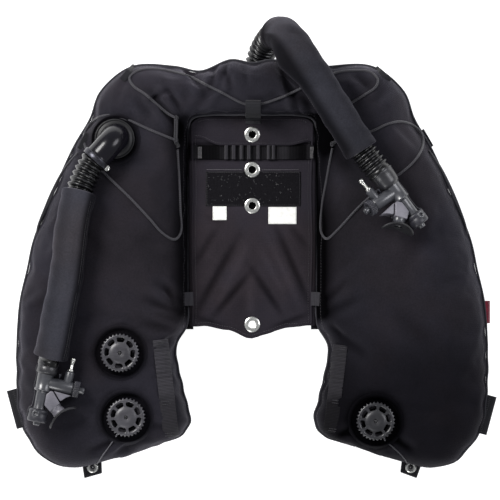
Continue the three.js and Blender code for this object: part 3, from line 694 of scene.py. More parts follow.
def label_material(name, low, high):
    """Blank satin label: fine threads and light soiling."""
    shader = Shader(name)
    threads = shader.bands(0.5 * MM, 1, shader.place.outputs["Object"])
    soil = shader.noise(130, 5, 0.7)
    colour = shader.ramp(soil, [(0.3, linear(low)), (0.62, linear(high))])
    shader.set(Base_Color=colour, Roughness=0.62, Specular_IOR_Level=0.3,
               Normal=shader.bump(threads, 0.4, 0.1))
    return shader.material


CLOTH = cloth_material("shell_cloth", (17, 16, 21), (33, 31, 37))
PANEL_CLOTH = cloth_material("panel_cloth", (26, 23, 28), (40, 36, 41), pitch=1.3, depth=0.34)
# Darkest cloth: the lining behind the panel, and painted shade where it makes the gusset in the gutters
# beside the panel.
LINING_AND_SHADE_CLOTH = cloth_material("lining_and_painted_shade_cloth", (10, 10, 12), (17, 17, 20))
SLEEVE_CLOTH = cloth_material("sleeve_cloth", (36, 36, 40), (53, 53, 58), pitch=0.8, depth=0.16, sheen=0.22)
BINDING = webbing_material("edge_binding", (20, 19, 23), (62, 62, 68), rib=1.2)
WEBBING = webbing_material("webbing", (11, 10, 13), (46, 44, 50), rib=2.2)
WEBBING_DARK = webbing_material("webbing_dark", (5, 5, 8), (32, 32, 37), rib=2.0)
PILE = pile_material("loop_pile")
PLASTIC = plastic_material("plastic", (26, 26, 31), (48, 48, 55))
VALVE_PLASTIC = plastic_material("valve_plastic", (40, 39, 43), (66, 65, 70), roughness=0.36, specular=0.6)
# A darker copy of the valve plastic: painted shade on the right cap.
VALVE_PLASTIC_SHADED = plastic_material("valve_plastic_painted_shade", (15, 15, 18), (34, 34, 38), roughness=0.34, specular=0.6)
INFLATOR_PLASTIC = plastic_material("inflator_plastic", (36, 37, 41), (60, 61, 66), roughness=0.32,
                                    specular=0.9, scuff=0.3)
# A lighter, satin copy of the inflator plastic: painted light on the spout's flat faces and the left neck.
SATIN_PLASTIC_LIT = plastic_material("satin_plastic_painted_light", (84, 83, 90), (112, 110, 118), roughness=0.45,
                                 specular=0.6)
COLLAR_PLASTIC = plastic_material("collar_plastic", (26, 26, 29), (40, 40, 44), roughness=0.36,
                                  specular=0.6, grain=0.03, scuff=0.1)
GLOSS_PLASTIC = plastic_material("gloss_plastic", (7, 6, 11), (13, 12, 19), roughness=0.24, specular=0.26,
                                 coat=0.1, grain=0.03, scuff=0.25)
RUBBER = rubber_material("rubber", (9, 9, 11), (18, 18, 21), roughness=0.28, specular=0.42)
MOUTH_RUBBER = rubber_material("mouth_rubber", (14, 14, 17), (34, 34, 38), roughness=0.5, specular=0.4)
STEEL = metal_material("steel", (176, 176, 172), (228, 228, 222))
STEEL_DARK = metal_material("steel_dark", (34, 34, 38), (74, 74, 80), roughness=0.34)
BUNGEE = cord_material("bungee", (11, 10, 14), (60, 59, 64))
KEEPER_CORD = cord_material("keeper_cord", (6, 6, 8), (38, 37, 42))
THREAD = cord_material("thread", (26, 25, 29), (62, 60, 66), pitch=0.5)
PALE_THREAD = cord_material("pale_thread", (90, 88, 92), (150, 148, 150), pitch=0.5)
PULL_LINE = cord_material("pull_line", (40, 40, 44), (96, 95, 100), pitch=1.0)
# A darker copy of the pull line: painted shade on the right cord.
PULL_LINE_SHADED = cord_material("pull_line_painted_shade", (12, 12, 16), (50, 50, 56), pitch=1.0)
LABEL = label_material("label", (214, 214, 208), (240, 240, 236))
TAG_RED = label_material("tag_red", (96, 20, 36), (134, 34, 54))
FILM = film_material("bladder_film")


# ---- camera, light and floor ------------------------------------------------------------------
def make_studio():
    """A camera straight above, a white floor and large soft lights; lengths in metres."""
    across, level = 0.734, 0.075        # width of the view and the height at which it is that wide
    lens, sensor = 900, 36
    camera = bpy.data.objects.new("camera", bpy.data.cameras.new("camera"))
    camera.data.lens = lens
    camera.data.sensor_width = sensor
    camera.location = (-0.0032, 0.0286, level + across * lens / sensor)
    camera.data.clip_end = 100
    bpy.context.scene.collection.objects.link(camera)
    bpy.context.scene.camera = camera

    mesh = bpy.data.meshes.new("floor")
    half = 6.0
    mesh.from_pydata([(-half, -half, 0), (half, -half, 0), (half, half, 0), (-half, half, 0)], [],
                     [(0, 1, 2, 3)])
    floor = bpy.data.objects.new("floor", mesh)
    floor.location.z = -0.0005
    bpy.context.scene.collection.objects.link(floor)
    shader = Shader("white_floor")
    shader.set(Base_Color=(0.5, 0.5, 0.5, 1), Roughness=0.9, Specular_IOR_Level=0.0,
               Emission_Color=(1, 1, 1, 1), Emission_Strength=0.95)
    mesh.materials.append(shader.material)

    world = bpy.data.worlds.new("studio")
    bpy.context.scene.world = world
    world.use_nodes = True
    background = world.node_tree.nodes["Background"]
    background.inputs["Color"].default_value = (0.93, 0.95, 1.0, 1)
    background.inputs["Strength"].default_value = 0.42

    for name, place, size, power, tint in [
        ("key", (-1.5, 1.2, 1.9), 1.1, 74, (1.0, 0.985, 0.975)),
        ("fill", (1.9, 0.6, 1.7), 1.3, 26, (0.95, 0.95, 1.0)),
        ("low", (-0.7, -1.9, 1.3), 0.9, 16, (1.0, 1.0, 1.0)),
    ]:
        light = bpy.data.lights.new(name, "AREA")
        light.shape = "DISK"
        light.size = size
        light.energy = power
        light.color = tint
        lamp = bpy.data.objects.new(name, light)
        lamp.location = place
        lamp.rotation_euler = (Vector((0, 0, 0.05)) - Vector(place)).to_track_quat("-Z", "Y").to_euler()
        bpy.context.scene.collection.objects.link(lamp)
    settings = bpy.context.scene.view_settings
    settings.view_transform = "Standard"
    settings.look = "None"


# ---- hoses: the free cords --------------------------------------------------------------------
HOSE_SIDES = 40
CUFF_RADIUS = 14.0                 # where the hose slips under the inflator's collar


def corrugated(path, crest, valley, pitch, start, end):
    """Radius along a hose whose ribs run between two distances from its start."""
    along = arc_lengths(path)
    ribs = 0.5 - 0.5 * np.cos(2 * math.pi * (along - start) / pitch)
    shape = valley + (crest - valley) * ribs ** 0.75
    collar = valley + 0.5 * (crest - valley)
    mask = smoothstep((along - start) / 4) * smoothstep((end - along) / 4)
    narrow = smoothstep((along - end - 2) / 8) * (collar - CUFF_RADIUS)
    return collar + (shape - collar) * mask - narrow


def make_hose(side, route, rib_start, rib_end):
    """A corrugated hose with painted shade between its ribs and painted highlights on their crests, with
    its path and its length.
    """
    path = smooth_line(route, 1.25, per=24)
    length = arc_lengths(path)[-1]
    valley = HOSE_RADIUS - RIB_DEPTH
    radius = corrugated(path, HOSE_RADIUS, valley, RIB_PITCH, rib_start, length - rib_end)
    hose = tube(f"hose_{side}", path, radius, RUBBER, "rubber", sides=HOSE_SIDES,
                stands_for=[f"{side}_hose"])
    # Painted highlights on the ribs' crests and painted shade between them.
    crest = (radius - HOSE_RADIUS + RIB_DEPTH) / RIB_DEPTH
    set_tone(hose, lambda points: np.repeat(-0.94 + 1.3 * crest ** 3, HOSE_SIDES)[:len(points)])
    return hose, path, length


make_studio()
HOSES = {
    "left": make_hose("left", LEFT_ROUTE, 4, 16),
    "right": make_hose("right", RIGHT_ROUTE, 6, 18),
}


# ---- the shell --------------------------------------------------------------------------------
STATIONS = [((-o[0], o[1]), (-i[0], i[1]), b, t) for o, i, b, t in reversed(HALF_STATIONS[1:])]
STATIONS += HALF_STATIONS
RING_STEP = 6.0                     # from one ring of cloth points to the next
SECTION_POINTS = 96                 # round the bag; a multiple of four keeps both seams exact
TIP_RINGS = 6                       # rings that close the bag to a seam past each tip
TYPICAL_SECTION = (115.0, 112.0)    # half-width and thickness that even out the points
CREASE_DEEPER, CREASE_NARROWER = 1.9, 0.85


def bag_section(count):
    """Evenly spaced (across, up) pairs round the bag, from the outer seam over the top."""
    quarter = np.linspace(0, math.pi / 2, 200)
    points = []
    for sign, power, reach in ((1, 3.0, 1 - SEAM_UP), (-1, 4.0, SEAM_UP)):
        across = np.cos(quarter) ** (2 / power)
        up = SEAM_UP + sign * reach * np.sin(quarter) ** (2 / power)
        half = np.vstack([np.column_stack([across, up]), np.column_stack([-across[-2::-1], up[-2::-1]])])
        half = half if sign > 0 else half[::-1]
        typical = half * TYPICAL_SECTION
        along = arc_lengths(typical)
        places = np.linspace(0, along[-1], count // 2 + 1)[:-1]
        points.append(np.column_stack([np.interp(places, along, half[:, k]) for k in range(2)]))
    return np.vstack(points)


def station_rows():
    """Outer x, y, inner x, y, base and thickness along the horseshoe, evenly spaced."""
    rows = np.array([[*outer, *inner, base, thick] for outer, inner, base, thick in STATIONS], float)
    fine = catmull(rows, per=30)
    outer_run = arc_lengths(fine[:, 0:2])
    inner_run = arc_lengths(fine[:, 2:4])
    middle = arc_lengths((fine[:, 0:2] + fine[:, 2:4]) / 2)
    pace = 0.45 * outer_run + 0.35 * middle + 0.2 * inner_run
    places = np.linspace(0, pace[-1], int(pace[-1] / RING_STEP))
    return np.column_stack([np.interp(places, pace, fine[:, k]) for k in range(6)])


def scallop(rows, rings):
    """Small gathers where the binding pulls in the lobes' lower edges."""
    ends = np.minimum(np.arange(rings), np.arange(rings)[::-1])
    near_tip = smoothstep((46 - ends) / 30)
    wave = np.sin(np.arange(rings) * 1.15) + 0.6 * np.sin(np.arange(rings) * 0.53 + 1.0)
    outward = rows[:, 0:2] - rows[:, 2:4]
    outward = outward / np.linalg.norm(outward, axis=1)[:, None]
    rows = rows.copy()
    rows[:, 0:2] += outward * (0.9 * near_tip * wave)[:, None]
    rows[:, 2:4] -= outward * (0.8 * near_tip * np.roll(wave, 3))[:, None]
    return rows


def shell_grid(slim=0.0):
    """Rings of points of the bag, drawn in by `slim`, with tips that close to a seam."""
    section = bag_section(SECTION_POINTS)
    rows = scallop(station_rows(), len(station_rows()))
    rings = []
    for outer_x, outer_y, inner_x, inner_y, base, thick in rows:
        outer, inner = np.array([outer_x, outer_y]), np.array([inner_x, inner_y])
        middle, across = (outer + inner) / 2, (outer - inner) / 2
        plan = middle + section[:, :1] * across * (1 - slim / np.linalg.norm(across))
        height = base + slim / 2 + (thick - slim) * section[:, 1]
        rings.append(np.column_stack([plan, height]))
    rings = np.array(rings)
    for first, second in ((0, 1), (-1, -2)):
        end = rings[first]
        away = unit((end - rings[second]).mean(axis=0) * (1, 1, 0))
        seam = end.copy()
        seam[:, 2] = end[:, 2].min() + SEAM_UP * (end[:, 2].max() - end[:, 2].min())
        extra = []
        for step in range(1, TIP_RINGS + 1):
            turn = math.pi / 2 * step / TIP_RINGS
            flat = seam + (end - seam) * max(math.cos(turn), 0.02)
            extra.append(flat + away * 3.0 * math.sin(turn))
        extra = np.array(extra)
        rings = np.concatenate([extra[::-1], rings]) if first == 0 else np.concatenate([rings, extra])
    return rings


def near(points, x, y):
    """Distance in plan from each point to a place."""
    return np.hypot(points[..., 0] - x, points[..., 1] - y)


def distance_to_line(points, line):
    """Least distance in plan from each point to a polyline."""
    best = np.full(points.shape[:-1], 1e9)
    for start, end in zip(line, line[1:]):
        run = end - start
        share = np.clip(((points[..., :2] - start) @ run) / run.dot(run), 0, 1)
        best = np.minimum(best, np.linalg.norm(points[..., :2] - start - share[..., None] * run, axis=-1))
    return best


def simulate_cloth(piece, pinned, growth, frames, pressure, bending):
    """Blows up a mesh as cloth held at its pinned points and returns its points, in metres."""
    group = piece.vertex_groups.new(name="pinned")
    group.add([int(index) for index in np.flatnonzero(pinned)], 1.0, "REPLACE")
    modifier = piece.modifiers.new("cloth", "CLOTH")
    cloth = modifier.settings
    cloth.quality = 5
    cloth.mass = 0.25
    cloth.tension_stiffness = 30
    cloth.compression_stiffness = 30
    cloth.shear_stiffness = 12
    cloth.bending_stiffness = bending
    cloth.air_damping = 6
    cloth.vertex_group_mass = "pinned"
    cloth.shrink_min = -growth
    cloth.use_pressure = True
    cloth.uniform_pressure_force = pressure
    cloth.effector_weights.gravity = 0
    modifier.collision_settings.use_collision = False
    modifier.point_cache.frame_start = 1
    modifier.point_cache.frame_end = frames
    for number in range(1, frames + 1):
        bpy.context.scene.frame_set(number)
    graph = bpy.context.evaluated_depsgraph_get()
    settled = piece.evaluated_get(graph).to_mesh()
    points = np.zeros(len(settled.vertices) * 3)
    settled.vertices.foreach_get("co", points)
    piece.evaluated_get(graph).to_mesh_clear()
    piece.modifiers.clear()
    piece.vertex_groups.clear()
    bpy.context.scene.frame_set(1)
    return points.reshape(-1, 3)


# Creases in the cloth: from, to, depth and half-width of each hollow.
CREASES = [
    ((-150, 262), (-112, 212), 5.5, 8), ((-128, 268), (-104, 232), 3.5, 6),
    ((-172, 250), (-150, 226), 2.5, 8), ((-42, 300), (-30, 262), 4.0, 5), ((-88, 288), (-70, 258), 3.2, 6),
    ((40, 300), (52, 262), 3.5, 5), ((-62, 262), (-84, 236), 2.8, 8), ((66, 258), (86, 236), 2.8, 8),
    ((-112, -62), (-160, -42), 3.0, 8), ((-108, -48), (-140, -18), 2.2, 7),
    ((-118, -86), (-168, -78), 2.4, 8), ((112, -62), (158, -42), 1.8, 8), ((108, -48), (142, -14), 1.4, 7),
    ((122, -92), (168, -128), 1.4, 8), ((-240, -268), (-196, -250), 3.0, 7),
    ((-206, -272), (-170, -252), 2.2, 6), ((236, -268), (206, -246), 2.6, 7),
    ((-262, 176), (-286, 148), 2.6, 9), ((262, 176), (284, 146), 2.4, 9), ((150, 288), (176, 262), 3.0, 9),
    ((196, 268), (176, 244), 2.4, 8), ((118, 282), (112, 246), 3.2, 9), ((-54, 297), (-62, 264), 3.6, 4.5),
    ((-101, 299), (-85, 283), 3.2, 5), ((-36, 306), (-47, 274), 2.6, 4.2), ((50, 286), (70, 226), 3.4, 6),
    ((-14, 300), (-8, 270), 2.0, 5), ((-152, 244), (-126, 262), 2.6, 4.5),
    ((-114, -58), (-126, -22), 2.0, 4.5), ((-112, -74), (-148, -64), 2.4, 4.5),
    ((-116, -96), (-140, -122), 2.2, 5), ((114, -80), (132, -98), 1.6, 5),
    ((-122, -236), (-150, -228), 2.0, 7), ((124, -244), (150, -236), 2.0, 7),
    ((-250, 60), (-214, 20), 1.2, 14), ((252, 70), (222, 8), 1.3, 16), ((206, -60), (262, -104), 1.2, 16),
]


def crease_depth(points):
    """Depth of all creases at each point, with a low ridge beside each hollow."""
    depth = np.zeros(points.shape[:-1])
    for start, end, deep, half in CREASES:
        start, end = np.array(start, float), np.array(end, float)
        run = end - start
        share = ((points[..., :2] - start) @ run) / run.dot(run)
        aside = np.linalg.norm(points[..., :2] - start - share[..., None] * run, axis=-1)
        taper = np.exp(-((2 * share - 1) ** 2) ** 1.5 * 1.3)
        half = CREASE_NARROWER * half
        hollow = np.exp(-(aside / half) ** 2) - 0.5 * np.exp(-((aside - 1.7 * half) / half) ** 2)
        depth += deep * taper * hollow
    return depth


def laid_plan(route, step):
    """A route in plan as an even line."""
    return smooth_line(route, step, per=16)


def make_shell():
    """The bag blown up as cloth, held at its seams and ports, as a piece and its grid of points."""
    start = shell_grid(slim=3.5)
    count, around, _ = start.shape
    flat = start.reshape(-1, 3)
    faces = ring_faces(count, around)
    ahead = np.concatenate([[0], np.cumsum(np.linalg.norm(np.diff(start.mean(axis=1), axis=0), axis=1))])
    round_it = arc_lengths(bag_section(SECTION_POINTS) * TYPICAL_SECTION)
    uv = np.stack(np.broadcast_arrays(round_it[None, :], ahead[:, None]), axis=-1).reshape(-1, 2)
    shell = make_piece("shell", flat, faces, CLOTH, "shell_cloth", uv=uv, stands_for=["outer_shell"])

    seam = np.zeros((count, around), bool)
    seam[:, 0] = seam[:, around // 2] = True
    seam[:TIP_RINGS + 1] = seam[-TIP_RINGS - 1:] = True
    top = start[..., 2] > (start[..., 2].max(axis=1) + start[..., 2].min(axis=1))[:, None] / 2
    for (x, y, _), radius in SEATS:
        seam |= top & (near(start, x, y) < radius + 3)
    seam |= ~top & (near(start, *REAR_PORT[:2]) < 24)
    target = shell_grid(0.0).reshape(-1, 3)
    settled = simulate_cloth(shell, seam.ravel(), growth=0.022, frames=18, pressure=3, bending=3) / MM
    drift = settled - target
    size = np.linalg.norm(drift, axis=1)
    most = 6.0
    scale = np.where(size > most, most / np.maximum(size, 1e-9), 1.0)
    points = (target + drift * scale[:, None]).reshape(start.shape)
    points[seam] = target.reshape(start.shape)[seam]
    points[..., 2] = np.maximum(points[..., 2], 0.4)
    return shell, points, top


SHELL, SHELL_POINTS, SHELL_IS_TOP = make_shell()


def outward_normals(points):
    """Normals of the ring grid, pointing out of the bag."""
    along = np.gradient(points, axis=0)
    around = np.roll(points, -1, axis=1) - np.roll(points, 1, axis=1)
    normal = np.cross(around, along)
    normal /= np.maximum(np.linalg.norm(normal, axis=2), 1e-9)[..., None]
    middle = points.mean(axis=1, keepdims=True)
    inward = (normal * (points - middle)).sum(axis=2) < 0
    flip = -1 if inward.mean() > 0.5 else 1
    return normal * flip


def finish_shell():
    """The shell's points with creases, grooves under the bungees and flat seats for the ports."""
    points = SHELL_POINTS.copy()
    normal = outward_normals(points)
    top = SHELL_IS_TOP
    free = np.ones(points.shape[:2], bool)
    free[:TIP_RINGS] = free[-TIP_RINGS:] = False
    dent = np.where(top & free, CREASE_DEEPER * crease_depth(points), 0)
    for routes in (SHOULDER_BUNGEE, CROSS_BUNGEE):
        for route in routes.values():
            gap = distance_to_line(points, laid_plan(route, 8.0))
            dent += np.where(top & free, 1.7 * np.exp(-(gap / 8) ** 2), 0)
    points -= normal * dent[..., None]
    for (x, y, floor), radius in SEATS:
        gap = near(points, x, y)
        sink = smoothstep((radius + 7 - gap) / 6)
        sunk = np.minimum(points[..., 2], floor - 2.0)
        points[..., 2] = np.where(top, points[..., 2] + (sunk - points[..., 2]) * sink, points[..., 2])
    return points


def sleeve_shade(points):
    """How deeply a point lies in the shade at the lower left of the right hose's sleeve."""
    shaded = laid_plan([(x - 25, y - 17) for x, y, _ in RIGHT_ROUTE[10:17]], 6.0)
    gap = np.min([np.hypot(points[:, 0] - x, points[:, 1] - y) for x, y in shaded[:, :2]], axis=0)
    return np.exp(-(gap / 17) ** 2)


def shell_tone(points):
    """Painted light and shade: lighter shoulders, a darker right lobe, and painted shade in folds, gutters,
    round the ports and under the right sleeve.
    """
    x, y = points[:, 0], points[:, 1]
    # Painted light on the shoulders; painted shade over the right lobe's lower part and on a stretch of its
    # inner side.
    tone = 0.24 * smoothstep((y - 110) / 110)
    tone -= 0.58 * smoothstep((x - 40) / 90) * smoothstep((-10 - y) / 170)
    tone -= 0.22 * smoothstep((170 - x) / 60) * smoothstep((x - 60) / 30) * smoothstep((120 - y) / 60)
    # Painted shade in the creases, the gutters beside the panel, near the bungee keepers, round the ports
    # and in the right sleeve's shadow.
    tone = tone - 0.13 * np.clip(crease_depth(points), -1.2, 3.6)
    gutter = np.exp(-(np.maximum(np.abs(x) - PANEL_HALF - 8, 0) / 15) ** 2) * smoothstep((y + 84) / 20)
    tone -= 0.82 * gutter * smoothstep((234 - y) / 12)
    tone -= 0.5 * np.exp(-((np.abs(x) - 112) / 16) ** 2) * np.exp(-((y - 205) / 32) ** 2)
    for (port_x, port_y, _), radius in SEATS:
        gap = np.hypot(x - port_x, y - port_y)
        tone -= 0.42 * np.exp(-(np.maximum(gap - radius, 0) / 9) ** 2)
    tone -= 0.68 * sleeve_shade(points)
    return tone


def write_points(piece, points):
    """Moves a piece's points to places in millimetres."""
    piece.data.vertices.foreach_set("co", (points.reshape(-1, 3) * MM).ravel())
    piece.data.update()


SHELL_POINTS = finish_shell()
write_points(SHELL, SHELL_POINTS)
subdivide(SHELL)
set_tone(SHELL, shell_tone)


def surface_tree(piece):
    """A piece's surface in millimetres, to find heights on."""
    verts = [tuple(v.co / MM) for v in piece.data.vertices]
    return BVHTree.FromPolygons(verts, [tuple(polygon.vertices) for polygon in piece.data.polygons])


SHELL_TREE = surface_tree(SHELL)
ABOVE_ALL = 400                     # height from which rays look down
LOBE_FOOT = 20                      # least height of what is sewn on the lobes


def top_of(x, y, lowest=PANEL_TOP):
    """Height of the shell, or of the panel between its lobes, above a point in plan."""
    hit = SHELL_TREE.ray_cast(Vector((x, y, ABOVE_ALL)), Vector((0, 0, -1)))
    return max(hit[0].z, lowest) if hit[0] is not None else lowest


def rest_height(x, y, radius, lowest=PANEL_TOP):
    """Height of a cord's centre where it rests on the shell."""
    reach = radius + 1.5
    around = [top_of(x + reach * math.cos(a), y + reach * math.sin(a), lowest)
              for a in np.arange(6) * math.pi / 3]
    return max(top_of(x, y, lowest) + radius, np.mean(around) + 0.8 * radius)


def laid_path(route, radius, step=2.0, lowest=PANEL_TOP, smooth=9):
    """A cord's centreline resting on what is below its route in plan."""
    plan = laid_plan(route, step)
    heights = np.array([rest_height(x, y, radius, lowest) for x, y in plan])
    padded = np.pad(heights, smooth, mode="edge")
    kernel = np.hanning(2 * smooth + 1)
    softened = np.convolve(padded, kernel / kernel.sum(), mode="valid")
    return np.column_stack([plan, np.maximum(softened, heights - 0.5)])


# ---- panels -----------------------------------------------------------------------------------
PANEL_FOLDS = [
    ((36, 62), (84, -46), -3.4, 7), ((26, 44), (74, -58), 2.0, 9), ((-2, 4), (44, -66), -3.6, 7),
    ((0, -2), (-58, -72), -3.2, 7), ((-20, 46), (-80, -60), -3.6, 8), ((-6, 34), (-46, -44), 1.9, 10),
    ((14, 30), (52, -44), 1.7, 9), ((-52, 58), (-84, 8), -2.4, 8), ((56, 66), (84, 30), -2.0, 8),
    ((-40, -84), (-84, -70), -2.2, 6), ((30, -86), (84, -66), -2.4, 6), ((0, -20), (0, -70), 2.4, 11),
    ((-70, 78), (-40, 66), -1.2, 7), ((20, 70), (58, 80), -1.1, 7),
]


def panel_fold(x, y):
    """Height of the soft folds that the lower panel is pulled into."""
    fold = 0.0
    for start, end, high, half in PANEL_FOLDS:
        run = np.array(end, float) - start
        share = ((x - start[0]) * run[0] + (y - start[1]) * run[1]) / run.dot(run)
        aside = np.hypot(x - start[0] - share * run[0], y - start[1] - share * run[1])
        taper = np.exp(-np.abs(2 * share - 1) ** 3 * 1.2)
        narrow = 0.72 * half
        fold = fold + high * taper * (np.exp(-(aside / narrow) ** 2)
                                      - 0.25 * np.exp(-(aside / (2.6 * narrow)) ** 2))
    return 1.55 * fold


def panel_bottom(x):
    """The panel's lower edge: a blunt point in the middle."""
    return np.interp(abs(x), [0, 8, 33, 50, 66, PANEL_HALF], [-101.5, -100, -90, -85.5, -83.5, -83]) \
        + 0.8 * math.sin(x * 0.17)


def panel_top_edge(x):
    """The panel's upper edge, with rounded corners."""
    corner = max(abs(x) - 62, 0) / (PANEL_HALF - 62)
    return 226.3 - 24 * (1 - math.sqrt(max(1 - corner ** 2.2, 0)))


def grid_faces(columns, rows):
    """Quads of a grid of points that are listed column by column."""
    return [(i * rows + j, (i + 1) * rows + j, (i + 1) * rows + j + 1, i * rows + j + 1)
            for i in range(columns - 1) for j in range(rows - 1)]


def outside_holes(faces, points, holes):
    """The faces whose centres lie outside round holes of (x, y, radius)."""
    centres = np.array([points[list(face)].mean(axis=0) for face in faces])
    keep = np.ones(len(faces), bool)
    for x, y, radius in holes:
        keep &= np.hypot(centres[:, 0] - x, centres[:, 1] - y) > radius
    return [face for face, kept in zip(faces, keep) if kept]


def cloth_plate(name, columns, rows, low_edge, high_edge, height, thick, material, slot, holes=(),
                **options):
    """A thin cloth plate over a plan outline between two edges, with round holes punched in it."""
    top, uv = [], []
    for x in columns:
        for share in np.linspace(0, 1, rows):
            y = low_edge(x) + (high_edge(x) - low_edge(x)) * share
            top.append((x, y, height(x, y)))
            uv.append((x, y))
    top = np.array(top)
    faces = outside_holes(grid_faces(len(columns), rows), top, holes)
    for x, y, radius in holes:
        near_rim = np.abs(np.hypot(top[:, 0] - x, top[:, 1] - y) - radius) < 3.0
        away = top[near_rim, :2] - (x, y)
        length = np.linalg.norm(away, axis=1)[:, None]
        top[near_rim, :2] = (x, y) + away / length * np.where(length < radius + 1.2, radius, length)
    piece = make_piece(name, top, faces, material, slot, uv=np.array(uv), **options)
    solid = piece.modifiers.new("thickness", "SOLIDIFY")
    solid.thickness = thick * MM
    solid.offset = -1
    return tidy_mesh(apply_modifiers(piece), 0.001)


def panel_height(x, y):
    """The panel's upper face: a strap slot, folds and edges that climb to the lobes."""
    slot_low, slot_high = STRAP_SLOT
    slot_depth = 3.2 * smoothstep((y - slot_low) / 4) * smoothstep((slot_high - y) / 4)
    slot_depth *= smoothstep((92 - abs(x)) / 5)
    calm = smoothstep((96 - y) / 50)
    edge = 1.6 * smoothstep((abs(x) - 84) / 8) * smoothstep((200 - y) / 20)
    flat = min([smoothstep((math.hypot(x, y - g) - GROMMET_HOLE_CLEAR) / 8) for g in GROMMET_Y])
    ripple = 0.35 * math.sin(x * 0.09 + y * 0.05) * math.sin(y * 0.11)
    return PANEL_TOP - slot_depth + flat * (calm * panel_fold(x, y) + ripple) + edge


def panel_tone(points):
    """Painted light on the fold crests and painted shade in the folds, under the sleeve, at the sides and
    in the strap slot; darker towards the bottom.
    """
    x, y = points[:, 0], points[:, 1]
    slot_low, slot_high = STRAP_SLOT
    tone = 0.10 + 0.13 * np.clip(panel_fold(x, y), -4, 2) - 0.75 * sleeve_shade(points)
    tone = tone - 0.16 * smoothstep((20 - y) / 90) - 0.62 * smoothstep((np.abs(x) - 84) / 10)
    return tone - 0.5 * smoothstep((y - slot_low) / 5) * smoothstep((slot_high - y) / 5)


def make_panels():
    """The front panel with its grommet holes, and the lining behind its upper part."""
    holes = [(0, y, GROMMET_HOLE) for y in GROMMET_Y]
    columns = np.linspace(-PANEL_HALF, PANEL_HALF, 95)
    panel = cloth_plate("harness_panel", columns, 165, panel_bottom, panel_top_edge, panel_height, 2.4,
                        PANEL_CLOTH, "panel_cloth", holes, stands_for=["center_panel"])
    set_tone(panel, panel_tone)
    back = cloth_plate("lining_panel", np.linspace(-90, 90, 61), 85,
                       lambda x: -45.0 + 0.6 * math.sin(x * 0.2),
                       lambda x: 218 - 18 * smoothstep((abs(x) - 70) / 20),
                       lambda x, y: 44 + 0.5 * math.sin(x * 0.07) * math.sin(y * 0.06),
                       2.0, LINING_AND_SHADE_CLOTH, "panel_cloth", stands_for=["rear_panel"])


make_panels()



def make_gusset():
    """Cloth that joins the panel's sides and top to the lobes' inner seams, made of the darkest cloth as
    painted shade in the gutters.
    """
    xs = np.linspace(-PANEL_HALF, PANEL_HALF, 60)
    top = [(x, panel_top_edge(x)) for x in xs]
    line = [(-PANEL_HALF, y) for y in np.linspace(-88, 196, 60)] + top
    line += [(PANEL_HALF, y) for y in np.linspace(196, -88, 60)]
    line = evenly(np.array(line, float), 4.0)
    ahead = tangents(line)
    out = np.column_stack([-ahead[:, 1], ahead[:, 0]])
    profile = [(-7, 49.4), (-1, 49.0), (3, 46.5), (9, 45.5), (17, 45.5), (17, 44.3), (9, 44.3), (3, 45.2),
               (-1, 47.6), (-7, 48.2)]
    verts = np.array([[(*(point + aside * reach), z) for reach, z in profile] for point,
                      aside in zip(line, out)])
    count = len(profile)
    row_pitch = 5.0
    uv = np.array([[(k * row_pitch, along) for k in range(count)] for along in arc_lengths(line)])
    uv = uv.reshape(-1, 2)
    make_piece("panel_gusset", verts.reshape(-1, 3), ring_faces(len(line), count), LINING_AND_SHADE_CLOTH,
               "panel_cloth", uv=uv)


def make_panel_piping():
    """Corded seams down both sides of the panel and their stitches."""
    for side, sign in (("left", -1), ("right", 1)):
        x = sign * 87.5
        line = np.array([(x + sign * 0.8 * math.sin(y * 0.04), y, panel_height(x, y) + 0.5)
                         for y in np.linspace(-79, 206, 120)])
        tube(f"panel_piping_{side}", line, 1.25, PANEL_CLOTH, "panel_cloth", sides=8)
        inner = line - (sign * 4.5, 0, 0)
        inner[:, 2] = [panel_height(px, py) + 0.15 for px, py, _ in inner]
        stitches(f"panel_stitches_{side}", [inner], THREAD, pitch=3.6, length=2.5, radius=0.32)
    hem = np.array([(x, panel_bottom(x) + 5.0, panel_height(x, panel_bottom(x) + 5.0) + 0.15)
                    for x in np.linspace(-84, 84, 90)])
    stitches("panel_hem_stitches", [hem], THREAD, pitch=3.6, length=2.5, radius=0.32)


FLAP_RISE = 1.3


def flap_low(x):
    """Lower edge of the flap, higher towards the panel's sides."""
    left = 11.0 * smoothstep((-x - 46) / 34)
    right = 6.0 * smoothstep((x - 55) / 30)
    return 182.5 + left + right


def flap_height(x, y):
    """The flap's upper face: it bellies out over the strap and lies flat round the grommet."""
    belly = 1.6 * math.exp(-((y - flap_low(x)) / 9) ** 2) * smoothstep((86 - abs(x)) / 12)
    flat = smoothstep((math.hypot(x, y - GROMMET_Y[0]) - GROMMET_HOLE_CLEAR) / 6)
    ripple = 0.4 * math.sin(x * 0.11 + 1) * math.sin(y * 0.21)
    return panel_height(x, max(y, 191)) + FLAP_RISE + flat * (belly + ripple)


def make_flap():
    """Upper layer of the panel, whose free edge covers the top of the strap slot."""
    flap = cloth_plate("strap_flap", np.linspace(-90, 90, 91), 26, flap_low,
                       lambda x: panel_top_edge(x) - 1.0, flap_height, 1.1, PANEL_CLOTH, "panel_cloth",
                       [(0, GROMMET_Y[0], GROMMET_HOLE)])
    hem = np.array([(x, flap_low(x) + 3.2, flap_height(x, flap_low(x) + 3.2) + 0.1)
                    for x in np.linspace(-84, 84, 85)])
    stitches("flap_stitches", [hem], THREAD, pitch=3.4, length=2.4, radius=0.3)
    top = np.array([(x, panel_top_edge(x) - 6.0, flap_height(x, panel_top_edge(x) - 6.0) + 0.1)
                    for x in np.linspace(-80, 80, 80)])
    stitches("panel_top_stitches", [top], THREAD, pitch=3.6, length=2.5, radius=0.32)


